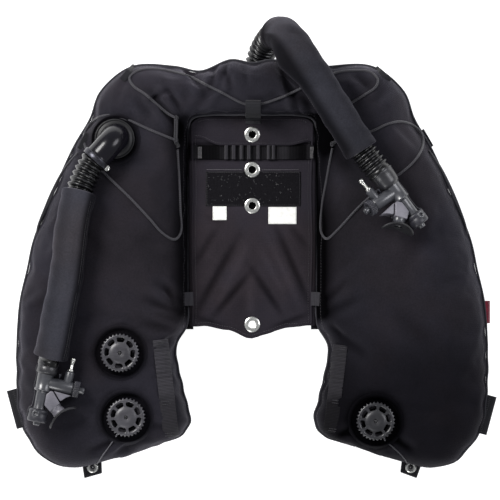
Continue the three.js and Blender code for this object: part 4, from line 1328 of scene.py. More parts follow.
def make_grommets():
    """Rolled rings with a washer behind; the first goes through the flap too."""
    rolled = [(5.5, -2.1), (5.9, -2.35), (8.5, -2.4), (11.2, -2.0), (11.7, -1.4), (11.4, -1.25),
              (7.1, -1.2)]
    low = [(r, PANEL_Z + 1.2 + z) for r, z in rolled]
    high = [(r, PANEL_TOP + FLAP_RISE - 1.1 - z) for r, z in reversed(rolled)]
    for number, y in enumerate(GROMMET_Y, 1):
        lift = FLAP_RISE if number == 1 else 0.0
        profile = low + [(r, z - (0 if lift else FLAP_RISE - 0.2)) for r, z in high]
        turned(f"grommet_ring_{number}", profile, (0, y, 0), STEEL, "steel", sides=96,
               stands_for=[f"grommet_{number}"])


def ribbon(name, line, across, width, thick, material, slot, rib=0.0, rib_depth=0.0, **options):
    """A flat strap whose centreline is `line` and whose width lies along `across`."""
    line = np.asarray(line, float)
    across = np.broadcast_to(np.asarray(across, float), line.shape)
    ahead = tangents(line)
    side = across - ahead * (across * ahead).sum(axis=1)[:, None]
    side /= np.linalg.norm(side, axis=1)[:, None]
    up = np.cross(side, ahead)
    section = strap_section(width, thick, 1.2, 7)
    points, faces, uv = sweep_mesh(line, section, side, up)
    if rib:
        along = arc_lengths(line)
        ripple = rib_depth * np.sin(2 * math.pi * along / rib)
        grid = points.reshape(len(line), len(section), 3)
        share = np.sign(section[:, 1]) * (np.abs(section[:, 1]) > thick * 0.4)
        grid += ripple[:, None, None] * share[None, :, None] * up[:, None, :]
        points = grid.reshape(-1, 3)
    return make_piece(name, points, faces, material, slot, uv=uv, **options)


# Pleats of the gear strap: place across the panel and height.
PLEATS = [(-38, 5.4), (-27, 6.8), (-15.5, 6.0), (-4.5, 6.9), (9, 4.4), (24.5, 6.6), (31.5, 5.2)]


def gear_strap_tone(points):
    """Painted light on the pleats' crests, and painted shade low down between them and on both flat
    stretches.
    """
    x = points[:, 0]
    tone = np.clip((points[:, 2] - 53.6) / 3.4, -0.62, 0.25)
    tone = tone - 0.25 * smoothstep((-44 - x) / 6) * smoothstep((x + 82) / 4)
    return tone - 0.25 * smoothstep((x - 50) / 6) * smoothstep((82 - x) / 4)


def make_gear_strap():
    """Webbing across the panel: pleats stand in its middle, flat ends are bar-tacked."""
    y, width = 172.3, 21.0
    line = [(-91, 51.0), (-80, 50.4), (-62, 50.6), (-48, 50.8)]
    foot = 50.9
    for x, high in PLEATS:
        line += [(x - 2.6, foot), (x - 1.6, foot + 0.75 * high), (x + 0.2, foot + high),
                 (x + 1.6, foot + 0.7 * high), (x + 2.2, 51.1)]
    line += [(38, 51.0), (46, 51.6), (60, 51.2), (76, 50.6), (91, 51.2)]
    curve = smooth_line(line, 0.8, per=8)
    path = np.column_stack([curve[:, 0], np.full(len(curve), y), curve[:, 1]])
    # The lighter webbing stands in for light caught by the pleats: painted light.
    strap = ribbon("molle_strap", path, (0, 1, 0), width, WEBBING_THICK, WEBBING, "webbing",
                   stands_for=["gear_strap"])
    set_tone(strap, gear_strap_tone)
    for side, x in (("left", -77), ("right", 88)):
        rows = [np.array([(x + k, y - 9, 52.3), (x + k, y + 9, 52.3)]) for k in (-2.4, -1.2, 0, 1.2, 2.4)]
        stitches(f"bar_tack_{side}", rows, PALE_THREAD, pitch=1.9, length=1.8, radius=0.35)


def make_loop_patch():
    """Loop pile sewn on the panel, with lint and two rows of stitches."""
    random = np.random.default_rng(7)
    low_x, high_x, low_y, high_y = -68.0, 71.5, 93.0, 144.0
    xs, ys = np.linspace(low_x, high_x, 187), np.linspace(low_y, high_y, 69)
    grid_x, grid_y = np.meshgrid(xs, ys, indexing="ij")
    pile = random.normal(0, 0.16, grid_x.shape)
    edge = np.minimum.reduce([grid_x - low_x, high_x - grid_x, grid_y - low_y, high_y - grid_y])
    height = PANEL_TOP + 1.9 + pile - 1.1 * (1 - smoothstep(edge / 1.5))
    verts = np.column_stack([grid_x.ravel(), grid_y.ravel(), height.ravel()])
    holes = [(0, y, 11.9) for y in GROMMET_Y]
    faces = outside_holes(grid_faces(len(xs), len(ys)), verts, holes)
    patch = make_piece("pile_patch", verts, faces, PILE, "loop_pile", uv=verts[:, :2],
                       stands_for=["loop_patch"])
    solid = patch.modifiers.new("thickness", "SOLIDIFY")
    solid.thickness = 1.3 * MM
    tidy_mesh(apply_modifiers(patch), 0.001)
    lint = []
    for _ in range(90):
        at = np.array([random.uniform(low_x + 2, high_x - 2), random.uniform(low_y + 2, high_y - 2), 0])
        if min(abs(np.hypot(at[0], at[1] - y)) for y in GROMMET_Y) < 13:
            continue
        angle = random.uniform(0, math.pi)
        run = np.array([math.cos(angle), math.sin(angle), 0]) * random.uniform(0.8, 2.8)
        bow = np.array([-run[1], run[0], 0]) * random.uniform(-0.4, 0.4)
        z = PANEL_TOP + 2.15
        line = catmull([at + (0, 0, z - 0.3), at + run * 0.5 + bow + (0, 0, z + 0.25),
                        at + run + (0, 0, z - 0.2)], per=3)
        side, up = carried_frames(line)
        lint.append(sweep_mesh(line, circle(0.11, 4), side, up))
    points, polygons, uv = join_meshes(lint)
    make_piece("patch_lint", points, polygons, PALE_THREAD, "loop_pile", uv=uv)
    inset = 1.6
    top = PANEL_TOP + 2.0
    corners = [(low_x + inset, low_y + inset), (high_x - inset, low_y + inset),
               (high_x - inset, high_y - inset), (low_x + inset, high_y - inset),
               (low_x + inset, low_y + inset)]
    rows = [np.array([(*a, top), (*b, top)]) for a, b in zip(corners, corners[1:])]
    clear = []
    for row in rows:
        line = evenly(row, 1.0)
        away = np.min([np.hypot(line[:, 0], line[:, 1] - y) for y in GROMMET_Y], axis=0) > 13.5
        starts = np.flatnonzero(np.diff(np.concatenate([[0], away.astype(int), [0]])))
        clear += [line[a:b] for a, b in zip(starts[::2], starts[1::2]) if b - a > 6]
    stitches("patch_stitches", clear, THREAD, pitch=3.2, length=2.2, radius=0.3)
    above = evenly(np.array([(low_x + 1, high_y + 3.0, 52.9), (-14, high_y + 2.6, 52.9)]), 1.0)
    beyond = evenly(np.array([(14, high_y + 2.4, 52.9), (high_x - 1, high_y + 2.8, 52.9)]), 1.0)
    stitches("patch_upper_stitches", [above, beyond], PALE_THREAD, pitch=2.6, length=1.9, radius=0.26)


def make_labels():
    """Two blank labels, one corner of each a little curled."""
    for name, (x0, x1, y0, y1), node in [("label_square", (-58, -37.6, 72.5, 92.7), "square_label"),
                                         ("label_care", (23.8, 65.2, 66.8, 91.8), "care_label")]:
        def height(x, y):
            curl = 0.5 * smoothstep((x - x1 + 8) / 8) * smoothstep((y0 + 8 - y) / 8)
            return PANEL_TOP + 1.1 + curl + 0.12 * math.sin(x * 0.5) * math.sin(y * 0.4)
        label = cloth_plate(name, np.linspace(x0, x1, 28), 18, lambda x: y0, lambda x: y1, height, 0.5,
                            LABEL, "label", stands_for=[node])
        inset = 1.3
        corners = [(x0 + inset, y0 + inset), (x1 - inset, y0 + inset), (x1 - inset, y1 - inset),
                   (x0 + inset, y1 - inset)]
        rows = [np.array([(*a, PANEL_TOP + 1.2), (*b, PANEL_TOP + 1.2)])
                for a, b in zip(corners, corners[1:] + corners[:1])]
        stitches(f"{name}_stitches", rows, PALE_THREAD, pitch=2.2, length=1.5, radius=0.16)


def make_top_loop():
    """Webbing loop that holds the shoulder bungee at the top of the panel."""
    line = [(214, 54.6), (219, 55.3), (223.2, 57.5), (224.2, 66), (225.5, 84), (230, 97.5), (236.5, 103.2),
            (242, 105.2), (246, 104.2), (247.5, 101)]
    curve = smooth_line(line, 1.2)
    path = np.column_stack([np.full(len(curve), 1.5), curve])
    ribbon("top_strap", path, (1, 0, 0), 22.5, 1.8, WEBBING_DARK, "webbing", rib=3.0, rib_depth=0.12,
           stands_for=["top_loop"])
    rows = [np.array([(-9.5, y, 56.6), (12.5, y, 56.6)]) for y in (215.4, 217.2)]
    stitches("top_strap_stitches", rows, THREAD, pitch=2.2, length=1.8, radius=0.35)


make_gusset()
make_panel_piping()
make_flap()
make_grommets()
make_gear_strap()
make_loop_patch()
make_labels()
make_top_loop()


# ---- piping and stitches round the shell ------------------------------------------------------
def make_shell_trim():
    """Piping along the bag's whole edge and a row of stitches on either side."""
    around = SECTION_POINTS
    first, last = SHELL_POINTS[0], SHELL_POINTS[-1]
    outer, inner = SHELL_POINTS[:, 0], SHELL_POINTS[:, around // 2]
    loop = np.vstack([outer, last[1:around // 2], inner[::-1], first[around // 2 - 1:0:-1]])
    loop = evenly(np.vstack([loop, loop[:1]]), 3.0)[:-1]
    tube("edge_piping", loop, 1.7, BINDING, "shell_cloth", sides=10, closed=True)
    normal = outward_normals(SHELL_POINTS)
    rows = []
    for column in (3, around // 2 - 3):
        line = SHELL_POINTS[TIP_RINGS:-TIP_RINGS, column] + normal[TIP_RINGS:-TIP_RINGS, column] * 0.1
        rows.append(stitch_mesh(evenly(line, 2.0), (0, 0, 1), pitch=4.4, length=3.0, radius=0.34))
    points, polygons, uv = join_meshes(rows)
    make_piece("edge_stitches", points, polygons, THREAD, "cord", uv=uv)


make_shell_trim()


# ---- port wells and dump valves ---------------------------------------------------------------
def make_well(name, x, y, floor, radius, hole):
    """A sewn cloth well round a port, from its flat seat up to the cloth round it."""
    turns = 120
    angles = np.arange(turns) * 2 * math.pi / turns
    reach = radius + 8
    rim = np.array([top_of(x + reach * math.cos(a), y + reach * math.sin(a), 0) for a in angles])
    kernel = np.hanning(9) / np.hanning(9).sum()
    rim = np.convolve(np.concatenate([rim[-4:], rim, rim[:4]]), kernel, mode="valid")
    rings = []
    for angle, level in zip(angles, rim):
        lip = max(level, floor + 2.2)
        gathers = 0.18 * math.sin(angle * 26)
        profile = [
            (reach + 0.5, level - 1.4), (reach - 0.8, level + 0.25),
            (radius + 5, (level + lip) / 2 + 0.75 + gathers), (radius + 2.8, lip + 0.8 + gathers),
            (radius + 1.2, lip - 0.1), (radius + 0.2, lip - 2.0), (radius, (floor + lip) / 2),
            (radius - 0.2, floor + 1.4), (radius - 1.6, floor + 0.25), (hole + 2, floor + 0.2),
            (hole, floor - 0.1), (hole, floor - 1.5), (radius, floor - 1.6), (radius + 1.6, lip - 4.5),
            (radius + 4, min(level, lip) - 2.4), (reach, level - 2.6),
        ]
        rings.append([(x + r * math.cos(angle), y + r * math.sin(angle), z) for r, z in profile])
    count = len(rings[0])
    row_pitch = 2.5
    uv = [(angle * radius, k * row_pitch) for angle in angles for k in range(count)]
    faces = ring_faces(turns, count, closed=True)
    well = make_piece(name, np.array(rings).reshape(-1, 3), faces, CLOTH, "shell_cloth", uv=np.array(uv))
    tidy_mesh(subdivide(well))
    # Painted shade in the well, darker on the right, fading towards the cloth round it.
    deep, rise = (-0.92, 0.12) if x > 0 else (-0.74, 0.42)
    set_tone(well, lambda p: deep + rise * smoothstep((near(p, x, y) - radius - 1) / 7))


CAP_TEETH = 32
CAP_SLOTS = 8


def valve_cap_mesh(floor):
    """A slotted cap with a toothed rim, hollow underneath, about its own axis."""
    top = floor + 15.5
    radii = [2.6, 3.4, 5.6, 6.0, 13.4, 14.2, 15.8, 19.3, 22.8, 24.0, 25.2]
    upper = [-0.9, -0.15, -0.1, 0.05, 0.1, -0.55, -0.6, -0.6, -0.6, 0.0, 0.0]
    slot_rows = (6, 8)
    per_slot = 32
    turns = per_slot * CAP_SLOTS
    half = 0.78 * per_slot / 2
    verts, index = [], {}

    def put(key, r, angle, z):
        index[key] = len(verts)
        verts.append((r * math.cos(angle), r * math.sin(angle), z))

    for j in range(turns):
        angle = 2 * math.pi * j / turns
        across = (j % per_slot - per_slot / 2) / half
        for i, (r, rise) in enumerate(zip(radii, upper)):
            if slot_rows[0] <= i <= slot_rows[1] and abs(across) <= 1:
                bow = math.sqrt(max(1 - abs(across) ** 5, 0.0))
                r = radii[7] + (r - radii[7]) * bow
            put(("top", i, j), r, angle, top + rise)
            put(("under", i, j), r, angle, top - 2.6)
        tooth = 0.5 + 0.5 * math.tanh(3.2 * math.sin(angle * CAP_TEETH))
        outer = 26.6 + 2.0 * tooth
        for k, (r, z) in enumerate([(26.3, top - 0.4), (outer - 0.5, top - 1.2), (outer, top - 2.4),
                                    (outer, floor + 2.2), (outer - 0.6, floor + 1.0), (26.2, floor + 0.6),
                                    (25.4, floor + 1.0), (25.4, top - 3.4)]):
            put(("rim", k, j), r, angle, z)
    faces = []
    last = len(radii) - 1

    def quad(a, b, c, d):
        faces.append((index[a], index[b], index[c], index[d]))

    for j in range(turns):
        n = (j + 1) % turns
        middle = (j % per_slot + 0.5 - per_slot / 2) / half
        open_here = abs(middle) < 1
        before_open = abs((((j - 1) % turns) % per_slot + 0.5 - per_slot / 2) / half) < 1
        for i in range(last):
            slot_cell = slot_rows[0] <= i < slot_rows[1]
            if slot_cell and open_here:
                continue
            quad(("top", i, j), ("top", i + 1, j), ("top", i + 1, n), ("top", i, n))
            quad(("under", i, n), ("under", i + 1, n), ("under", i + 1, j), ("under", i, j))
        if open_here:
            quad(("top", slot_rows[0], j), ("top", slot_rows[0], n), ("under", slot_rows[0], n),
                 ("under", slot_rows[0], j))
            quad(("top", slot_rows[1], n), ("top", slot_rows[1], j), ("under", slot_rows[1], j),
                 ("under", slot_rows[1], n))
        if open_here != before_open:
            for i in range(*slot_rows):
                a, b = ("top", i, j), ("top", i + 1, j)
                a, b = (a, b) if open_here else (b, a)
                quad(a, b, ("under", b[1], j), ("under", a[1], j))
        quad(("top", 0, n), ("under", 0, n), ("under", 0, j), ("top", 0, j))
        chain = [("top", last)] + [("rim", k) for k in range(8)] + [("under", last)]
        for a, b in zip(chain, chain[1:]):
            quad((*a, j), (*b, j), (*b, n), (*a, n))
    return np.array(verts), faces


def coil_rise(share):
    """Rise along a spring from 0 to 1, with a flat closed coil at each end."""
    return np.clip((share - 0.12) / 0.76, 0, 1)


def make_valve_spring(name, x, y, floor):
    """Coil spring between the poppet and the cap."""
    radius, wire, turns = 9.0, 0.7, 3.5
    node = f"dump_spring_{name}"
    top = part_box(node)[1][2] / MM - wire
    low = floor + 0.9
    share = np.linspace(0, 1, 180)
    angle = 2 * math.pi * (turns + 2) * share
    rise = low + (top - low) * coil_rise(share)
    coil = np.column_stack([x + radius * np.cos(angle), y + radius * np.sin(angle), rise])
    spring = tube(f"spring_{name}", coil, wire, STEEL, "steel", sides=10, stands_for=[node])
    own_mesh(spring)


VALVE_BASE = [
    (14, -7.7), (31, -7.7), (31, -5.2), (22, -5.2), (22, 0.5), (25, 0.5), (25, 2), (24.4, 2.4), (25, 3),
    (25, 4), (24.4, 4.4), (25, 5), (25, 8.6), (24.6, 9), (21.5, 9), (21.5, 1), (18, -3), (14, -3),
]
POPPET_DISC = [
    (0.01, 0), (16.6, 0), (17, 0.4), (17, 1.5), (16.4, 2), (11, 2.1), (9, 2.6), (3.4, 3), (3.1, 4),
    (2.2, 5),
]
POPPET_STEM = [(2.2, 14.3), (1.9, 15.0), (0.01, 15.0)]
CAP_TURNS = {"left_upper": 0.32, "left_lower": 0.1, "right": -0.16}


def make_valves():
    """Three dump valves: well, base, poppet, spring and cap."""
    for name, (x, y, floor) in VALVES.items():
        make_well(f"well_{name}", x, y, floor, SEAT_RADIUS, 23)
        points, polygons = valve_cap_mesh(floor)
        c, s = math.cos(CAP_TURNS[name]), math.sin(CAP_TURNS[name])
        points = points @ np.array([[c, s, 0], [-s, c, 0], [0, 0, 1]]) + (x, y, 0)
        # The right cap is darker as painted shade, like the rest of the right lobe.
        plastic = VALVE_PLASTIC_SHADED if name == "right" else VALVE_PLASTIC
        cap = make_piece(f"cap_{name}", points, polygons, plastic, "plastic",
                         stands_for=[f"dump_cap_{name}"])
        tidy_mesh(cap)
        bevel(cap, 0.22, 2, 40)
        turned(f"base_{name}", raised(VALVE_BASE, floor), (x, y, 0), VALVE_PLASTIC, "plastic", sides=72,
               stands_for=[f"dump_base_{name}"])
        disc = raised(POPPET_DISC, floor - 3 + GAP) + raised(POPPET_STEM, floor)
        turned(f"poppet_disc_{name}", disc, (x, y, 0), RUBBER, "rubber", sides=48, body=f"poppet_{name}",
               stands_for=[f"dump_poppet_{name}"])
        make_valve_spring(name, x, y, floor)


make_valves()


# ---- straps, tabs and loops on the shell ------------------------------------------------------
def lobe_strap(side, start, end, width):
    """Webbing sewn down at both ends of a lobe's inner side, slack between them."""
    start, end = np.array(start, float), np.array(end, float)
    run = end - start
    aside = unit((-run[1], run[0]))
    places = [-width / 2, -width / 4, 0, width / 4, width / 2]
    steps = 110
    section = strap_section(width, WEBBING_THICK, 1.5, 9)
    rings = []
    for share in np.linspace(0, 1, steps):
        point = start + run * share
        slack = 4.2 * smoothstep(share / 0.04) * smoothstep((0.62 - share) / 0.06) if share < 0.62 else 0.0
        level = np.array([top_of(*(point + aside * a), LOBE_FOOT) for a in places])
        bend = np.interp(section[:, 0], places, level)
        high = 0.45 * bend + 0.55 * max(level.mean(), level[2]) + 1.5 + slack
        worn = 0.10 + 0.55 * smoothstep((0.56 - share) / 0.08)
        rib = math.sin(2 * math.pi * share * np.linalg.norm(run) / 6.4)
        ripple = 1.4 * worn * rib * (section[:, 1] > 0)
        plan = point + section[:, :1] * aside
        rings.append(np.column_stack([plan, high + section[:, 1] + ripple]))
    count = len(section)
    round_it = arc_lengths(np.vstack([section, section[:1]]))[:-1]
    uv = np.array([[(a, share * np.linalg.norm(run)) for a in round_it]
                   for share in np.linspace(0, 1, steps)])
    strap = make_piece(f"strap_{side}", np.array(rings).reshape(-1, 3), ring_faces(steps, count), WEBBING,
                       "webbing", uv=uv.reshape(-1, 2), stands_for=[f"lobe_strap_{side}"])
    level = start[1] + run[1] * 0.58
    # Painted light and shade: the right strap is darker like the right lobe, and each strap is lighter
    # above the place where it is sewn flat and darker below it.
    painted_light_and_shade_by_side = 0.10 if side == "left" else -0.42
    set_tone(strap, lambda p: painted_light_and_shade_by_side + 0.2 * smoothstep((p[:, 1] - level) / 12)
             - 0.3 * smoothstep((level - p[:, 1]) / 12))
    rows = []
    for share in (0.02, 0.045, 0.63, 0.66, 0.955, 0.98):
        point = start + run * share
        line = np.array([[*(point + aside * a), top_of(*(point + aside * a), LOBE_FOOT) + 3.0]
                         for a in np.linspace(-width / 2 + 2, width / 2 - 2, 12)])
        if share < 0.1:
            line[:, 2] += 2.5
        rows.append(line)
    stitches(f"strap_stitches_{side}", rows, THREAD, pitch=2.6, length=2.0, radius=0.36)


def rounded_outline(corners, radius):
    """A polygon with rounded corners, as points in order."""
    points = []
    count = len(corners)
    for k in range(count):
        before, here, after = (np.array(corners[i % count], float) for i in (k - 1, k, k + 1))
        enter = here + unit(before - here) * radius
        leave = here + unit(after - here) * radius
        for share in np.linspace(0, 1, 6):
            points.append((1 - share) ** 2 * enter + 2 * share * (1 - share) * here + share ** 2 * leave)
    return evenly(np.vstack([points, points[:1]]), 0.8)[:-1]


def holed_tab(name, corners, centre, hole, low, high, material, **options):
    """A small sewn tab with a round hole, a little puffed between its edge and the hole."""
    outline = rounded_outline(corners, 1.6)
    centre = np.array(centre, float)
    rings = []
    shares = [0, 0.06, 0.3, 0.6, 0.85, 1.0]
    for point in outline:
        away = point - centre
        rim = centre + unit(away) * hole
        upper = []
        for share in shares:
            at = rim + (point - rim) * share
            puff = 0.35 * math.sin(math.pi * share) - (0.5 if share == 1.0 else 0.0)
            upper.append((*at, high + puff))
        rings.append(upper + [(x, y, low + high - z) for x, y, z in reversed(upper)])
    count = len(rings[0])
    uv = np.array([[(x, y) for x, y, _ in ring] for ring in rings]).reshape(-1, 2)
    return make_piece(name, np.array(rings).reshape(-1, 3), ring_faces(len(rings), count, closed=True),
                      material, "webbing", uv=uv, **options)


EYELET_RING = [
    (4.2, 22.6), (4.6, 22.3), (6.4, 22.2), (8.0, 22.6), (8.2, 23.3), (7.6, 23.6), (5.4, 23.7), (5.4, 26.7),
    (7.6, 26.8), (8.2, 27.1), (8.0, 27.8), (6.4, 28.2), (4.6, 28.1), (4.2, 27.8),
]


def make_eyelets():
    """A webbing tab with a steel eyelet at the bottom of each lobe."""
    corners = {
        "left": [(-251, -282), (-247, -307.3), (-221, -300), (-222, -274)],
        "right": [(221, -274), (218, -298.5), (242, -307.3), (251, -282)],
    }
    for side, (x, y) in EYELETS.items():
        holed_tab(f"tab_{side}", corners[side], (x, y), 5.2, 24, 26.4, WEBBING_DARK,
                  stands_for=[f"eyelet_tab_{side}"])
        outline = rounded_outline(corners[side], 1.6)
        inner = (x, y) + (outline - (x, y)) * 0.86
        stitches(f"tab_stitches_{side}", [np.column_stack([inner, np.full(len(inner), 26.5)])], THREAD,
                 pitch=2.4, length=1.7, radius=0.28)
        turned(f"eyelet_ring_{side}", EYELET_RING, (x, y, 0), STEEL, "steel", sides=64,
               stands_for=[f"eyelet_{side}"])


def make_side_tabs():
    """Webbing folded double where it leaves the outer seam of each lobe."""
    for side, sign in (("left", -1), ("right", 1)):
        drop = np.array((1.5, 9.0)) if side == "right" else np.zeros(2)
        upper, lower = np.array((360.2, -178.5)) - drop, np.array((345.2, -234.5)) - drop
        along = unit(upper - lower)
        outward = np.array((along[1], -along[0]))
        outward = outward if outward[0] > 0 else -outward
        middle = (upper + lower) / 2
        depths = [(-17, 53.3), (-12, 53.3), (-6, 53.4), (-2.2, 53.3), (-0.6, 52.6), (0, 51.1), (-0.6, 49.6),
                  (-2.2, 48.9), (-6, 48.8), (-12, 48.9), (-17, 48.9)]
        line = []
        for depth, z in depths:
            plan = middle + outward * depth
            line.append((sign * plan[0], plan[1], z))
        path = smooth_line(line, 0.7, per=8)
        width = np.linalg.norm(upper - lower)
        across = (sign * along[0], along[1], 0)
        ribbon(f"tab_outer_{side}", path, across, width, WEBBING_THICK, WEBBING_DARK, "webbing", rib=2.6,
               rib_depth=0.1, stands_for=[f"side_tab_{side}"])
        rows = []
        for depth in (-8.0, -9.6):
            ends = [middle + outward * depth + along * reach for reach in (-width / 2 + 2, width / 2 - 2)]
            rows.append(np.array([(sign * p[0], p[1], 54.4) for p in ends]))
        stitches(f"tab_outer_stitches_{side}", rows, THREAD, pitch=2.8, length=2.1, radius=0.33)


def make_red_tag():
    """A folded woven tag caught in the right lobe's outer seam."""
    line = [(338, 52.6), (345, 52.6), (348.4, 52.2), (349.3, 51.4), (348.4, 50.6), (345, 50.2), (338, 50.2)]
    curve = smooth_line(line, 0.6, per=6)
    path = np.column_stack([curve[:, 0], np.full(len(curve), -62.5), curve[:, 1]])
    ribbon("woven_tag", path, (0, 1, 0), 33, 0.7, TAG_RED, "label")
    rows = [np.array([(347.2, -78.2, 53.0), (347.2, -46.8, 53.0)])]
    stitches("woven_tag_stitches", rows, PALE_THREAD, pitch=1.8, length=1.5, radius=0.25)


def webbing_loop(name, at, heading, span, width, high):
    """A small loop of webbing sewn to the shell, standing over a cord."""
    heading = unit(heading)
    line = []
    for share in np.linspace(0, 1, 9):
        x, y = np.array(at, float) + heading * span * (share - 0.5)
        arch = high * math.sin(math.pi * share) ** 0.7
        line.append((x, y, top_of(x, y, LOBE_FOOT) + 0.9 + arch))
    path = smooth_line(line, 0.8, per=6)
    ribbon(name, path, (-heading[1], heading[0], 0), width, 1.4, WEBBING_DARK, "webbing", rib=2.2,
           rib_depth=0.08)


def make_loops():
    """Webbing bridges over the cords, and the two keepers at the panel's lower corners."""
    webbing_loop("corner_loop_left", (-181.5, 288.5), (-0.66, -0.75), 28, 10, 5.0)
    webbing_loop("corner_loop_right", (191.5, 286), (0.75, -0.66), 28, 10, 5.0)
    webbing_loop("edge_loop_left", (-247, 188), (-0.45, -0.89), 26, 9, 5.0)
    webbing_loop("edge_loop_right", (255.5, 192), (0.5, -0.86), 28, 10, 5.0)
    for side, sign in (("left", -1), ("right", 1)):
        line = [(sign * 87, -43.0, 54.9), (sign * 91, -43.2, 57.5), (sign * 96.5, -43.4, 60),
                (sign * 102, -44, 66), (sign * 104, -44, 74)]
        path = smooth_line(line, 0.9, per=10)
        keeper = ribbon(f"panel_keeper_{side}", path, (0, 1, 0), 20, 1.6, WEBBING, "webbing", rib=2.4,
                        rib_depth=0.12)
        # Painted shade where each keeper climbs into the gutter beside the lobe; lighter on the panel.
        set_tone(keeper, lambda p: 0.25 - 0.9 * smoothstep((np.abs(p[:, 0]) - 98) / 4))


lobe_strap("left", (-134.5, -103), (-118.5, -246), 22.6)
lobe_strap("right", (129.5, -111), (114.5, -239), 20.6)
make_eyelets()
make_side_tabs()
make_red_tag()
make_loops()


# ---- bungees and cords ------------------------------------------------------------------------
def make_bungees():
    """Shoulder and cross bungees laid on the shell, and the edge cords along the outer seams."""
    middle = [(1.5, 240.5)]
    for side in ("left", "right"):
        shoulder = laid_path(middle + SHOULDER_BUNGEE[side], BUNGEE_RADIUS)
        tube(f"bungee_shoulder_{side}", shoulder, BUNGEE_RADIUS, BUNGEE, "elastic", sides=12,
             stands_for=[f"shoulder_bungee_{side}"])
        cross = laid_path(CROSS_BUNGEE[side], BUNGEE_RADIUS)
        tube(f"bungee_cross_{side}", cross, BUNGEE_RADIUS, BUNGEE, "elastic", sides=12,
             stands_for=[f"cross_bungee_{side}"])
        first = EDGE_CORD[side][0]
        levels = [rest_height(*first, BUNGEE_RADIUS), 68, 62, 58, 54, 50]
        edge = smooth_line([(x, y, z) for (x, y), z in zip(EDGE_CORD[side], levels)], 2.0)
        tube(f"cord_edge_{side}", edge, BUNGEE_RADIUS * 0.9, BUNGEE, "elastic", sides=10,
             stands_for=[f"edge_cord_{side}"])
        make_keeper(side, shoulder[-1], cross[0], cross[-1])


def make_keeper(side, *ends):
    """Where three bungee ends meet: a short doubled cord bound by two knots."""
    first, second, third = (np.array(end, float) for end in ends)
    low = third + (0, 6, 0.5)
    path = smooth_line([first + (0, 2, 0), (first + second) / 2 + (0, 0, 1.2), second + (0, 0, 1.0), low],
                       1.0, per=10)
    for strand, shift in (("a", -1.5), ("b", 1.5)):
        tube(f"keeper_{side}_{strand}", path + (shift, 0, 0.4), 1.5, KEEPER_CORD, "elastic", sides=10)
    for number, centre in enumerate((first + (0, 0.5, 0.8), second + (0, 0.5, 1.6), low + (0, 0, 0.6)), 1):
        knot_mesh(f"knot_{side}_{number}", centre)


def knot_mesh(name, centre):
    """A compact wrapped knot: a trefoil of cord pulled tight."""
    angles = np.linspace(0, 2 * math.pi, 60, endpoint=False)
    ring = np.column_stack([(1.8 + 0.8 * np.cos(3 * angles)) * np.cos(angles * 2),
                            (2.1 + 0.8 * np.cos(3 * angles)) * np.sin(angles * 2),
                            1.2 * np.sin(3 * angles)])
    tube(name, ring + centre, 1.2, KEEPER_CORD, "elastic", sides=8, closed=True)


def make_pull_cords():
    """Cords from the valves' rims over the shell to the eyelets, with their knobs behind."""
    radius = 0.9
    for side, (x, y) in EYELETS.items():
        laid = laid_path(PULL_CORD[side], radius, step=1.0, lowest=0, smooth=4)
        port_x, port_y, floor = VALVES["left_lower" if side == "left" else "right"]
        toward = unit(laid[0][:2] - (port_x, port_y))
        rim = np.array((port_x, port_y)) + toward * 27.6
        start = [(*(rim - toward * 3.2), floor + 12.6), (*rim, floor + 13.2),
                 (*(rim + toward * 3.5), floor + 12.4)]
        fall = [(x, y + 1.6, 34), (x, y + 0.2, 29.5), (x, y, 25), (x, y, 21.5)]
        path = smooth_line(np.vstack([start, laid[::3], fall]), 1.0, per=6)
        # The right cord is darker as painted shade, like the rest of the right lobe.
        line = PULL_LINE if side == "left" else PULL_LINE_SHADED
        tube(f"pull_line_{side}", path, radius, line, "cord", sides=8, stands_for=[f"pull_cord_{side}"])
        stub = np.array([(x, y, z) for z in np.linspace(23.5, 17, 12)])
        tail = tube(f"pull_tail_{side}", stub, radius * 0.95, line, "cord", sides=8)
        tail.parent = None
        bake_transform(tail)
        r = 4.6
        upper = [(r, 0.12 * r), (0.86 * r, 0.5 * r), (0.55 * r, 0.86 * r), (0.95, r)]
        lower = [(radius, -height) for radius, height in reversed(upper)]
        turned(f"knob_{side}", raised(lower + [(0.93 * r, 0)] + upper, 17), (x, y, 0), PLASTIC, "plastic",
               sides=48, body=f"pull_knob_{side}", stands_for=[f"pull_knob_{side}"])


make_bungees()
make_pull_cords()


# ---- elbows -----------------------------------------------------------------------------------
def band_profile(inner, shoulder, outer, half):
    """Profile of a hose band with bevelled edges, `half` to either side of its middle."""
    edge = half - 0.4
    return [(inner, -half), (shoulder, -half), (outer, -edge), (outer, edge), (shoulder, half),
            (inner, half)]


def oriented_box(centre, ahead, aside, size):
    """Eight corners and six faces of a box along two directions."""
    ahead, aside = unit(ahead), unit(aside)
    up = np.cross(ahead, aside)
    corners = [centre + ahead * size[0] * a / 2 + aside * size[1] * b / 2 + up * size[2] * c / 2
               for a in (-1, 1) for b in (-1, 1) for c in (-1, 1)]
    faces = [(0, 1, 3, 2), (4, 6, 7, 5), (0, 4, 5, 1), (2, 3, 7, 6), (0, 2, 6, 4), (1, 5, 7, 3)]
    return np.array(corners), faces


def make_clamp_head(name, at, ahead, aside):
    """Worm-drive head: a bevelled housing with a slotted screw."""
    points, polygons = oriented_box(np.array(at, float), ahead, aside, (8.4, 5.5, 7.0))
    head = make_piece(name, points, polygons, STEEL, "steel")
    tidy_mesh(head)
    bevel(head, 1.0, 3)
    screw = [(0.01, 0), (3.1, 0), (3.1, 1.0), (2.7, 1.4), (0.01, 1.6)]
    turned(f"{name}_screw", screw, np.array(at) + unit(aside) * 2.6, STEEL, "steel", sides=32,
           axis=tuple(unit(aside)))
    points, polygons = oriented_box(np.array(at) + unit(aside) * 4.15, ahead, aside, (5.2, 0.5, 0.9))
    make_piece(f"{name}_slot", points, polygons, RUBBER, "steel", smooth=False)


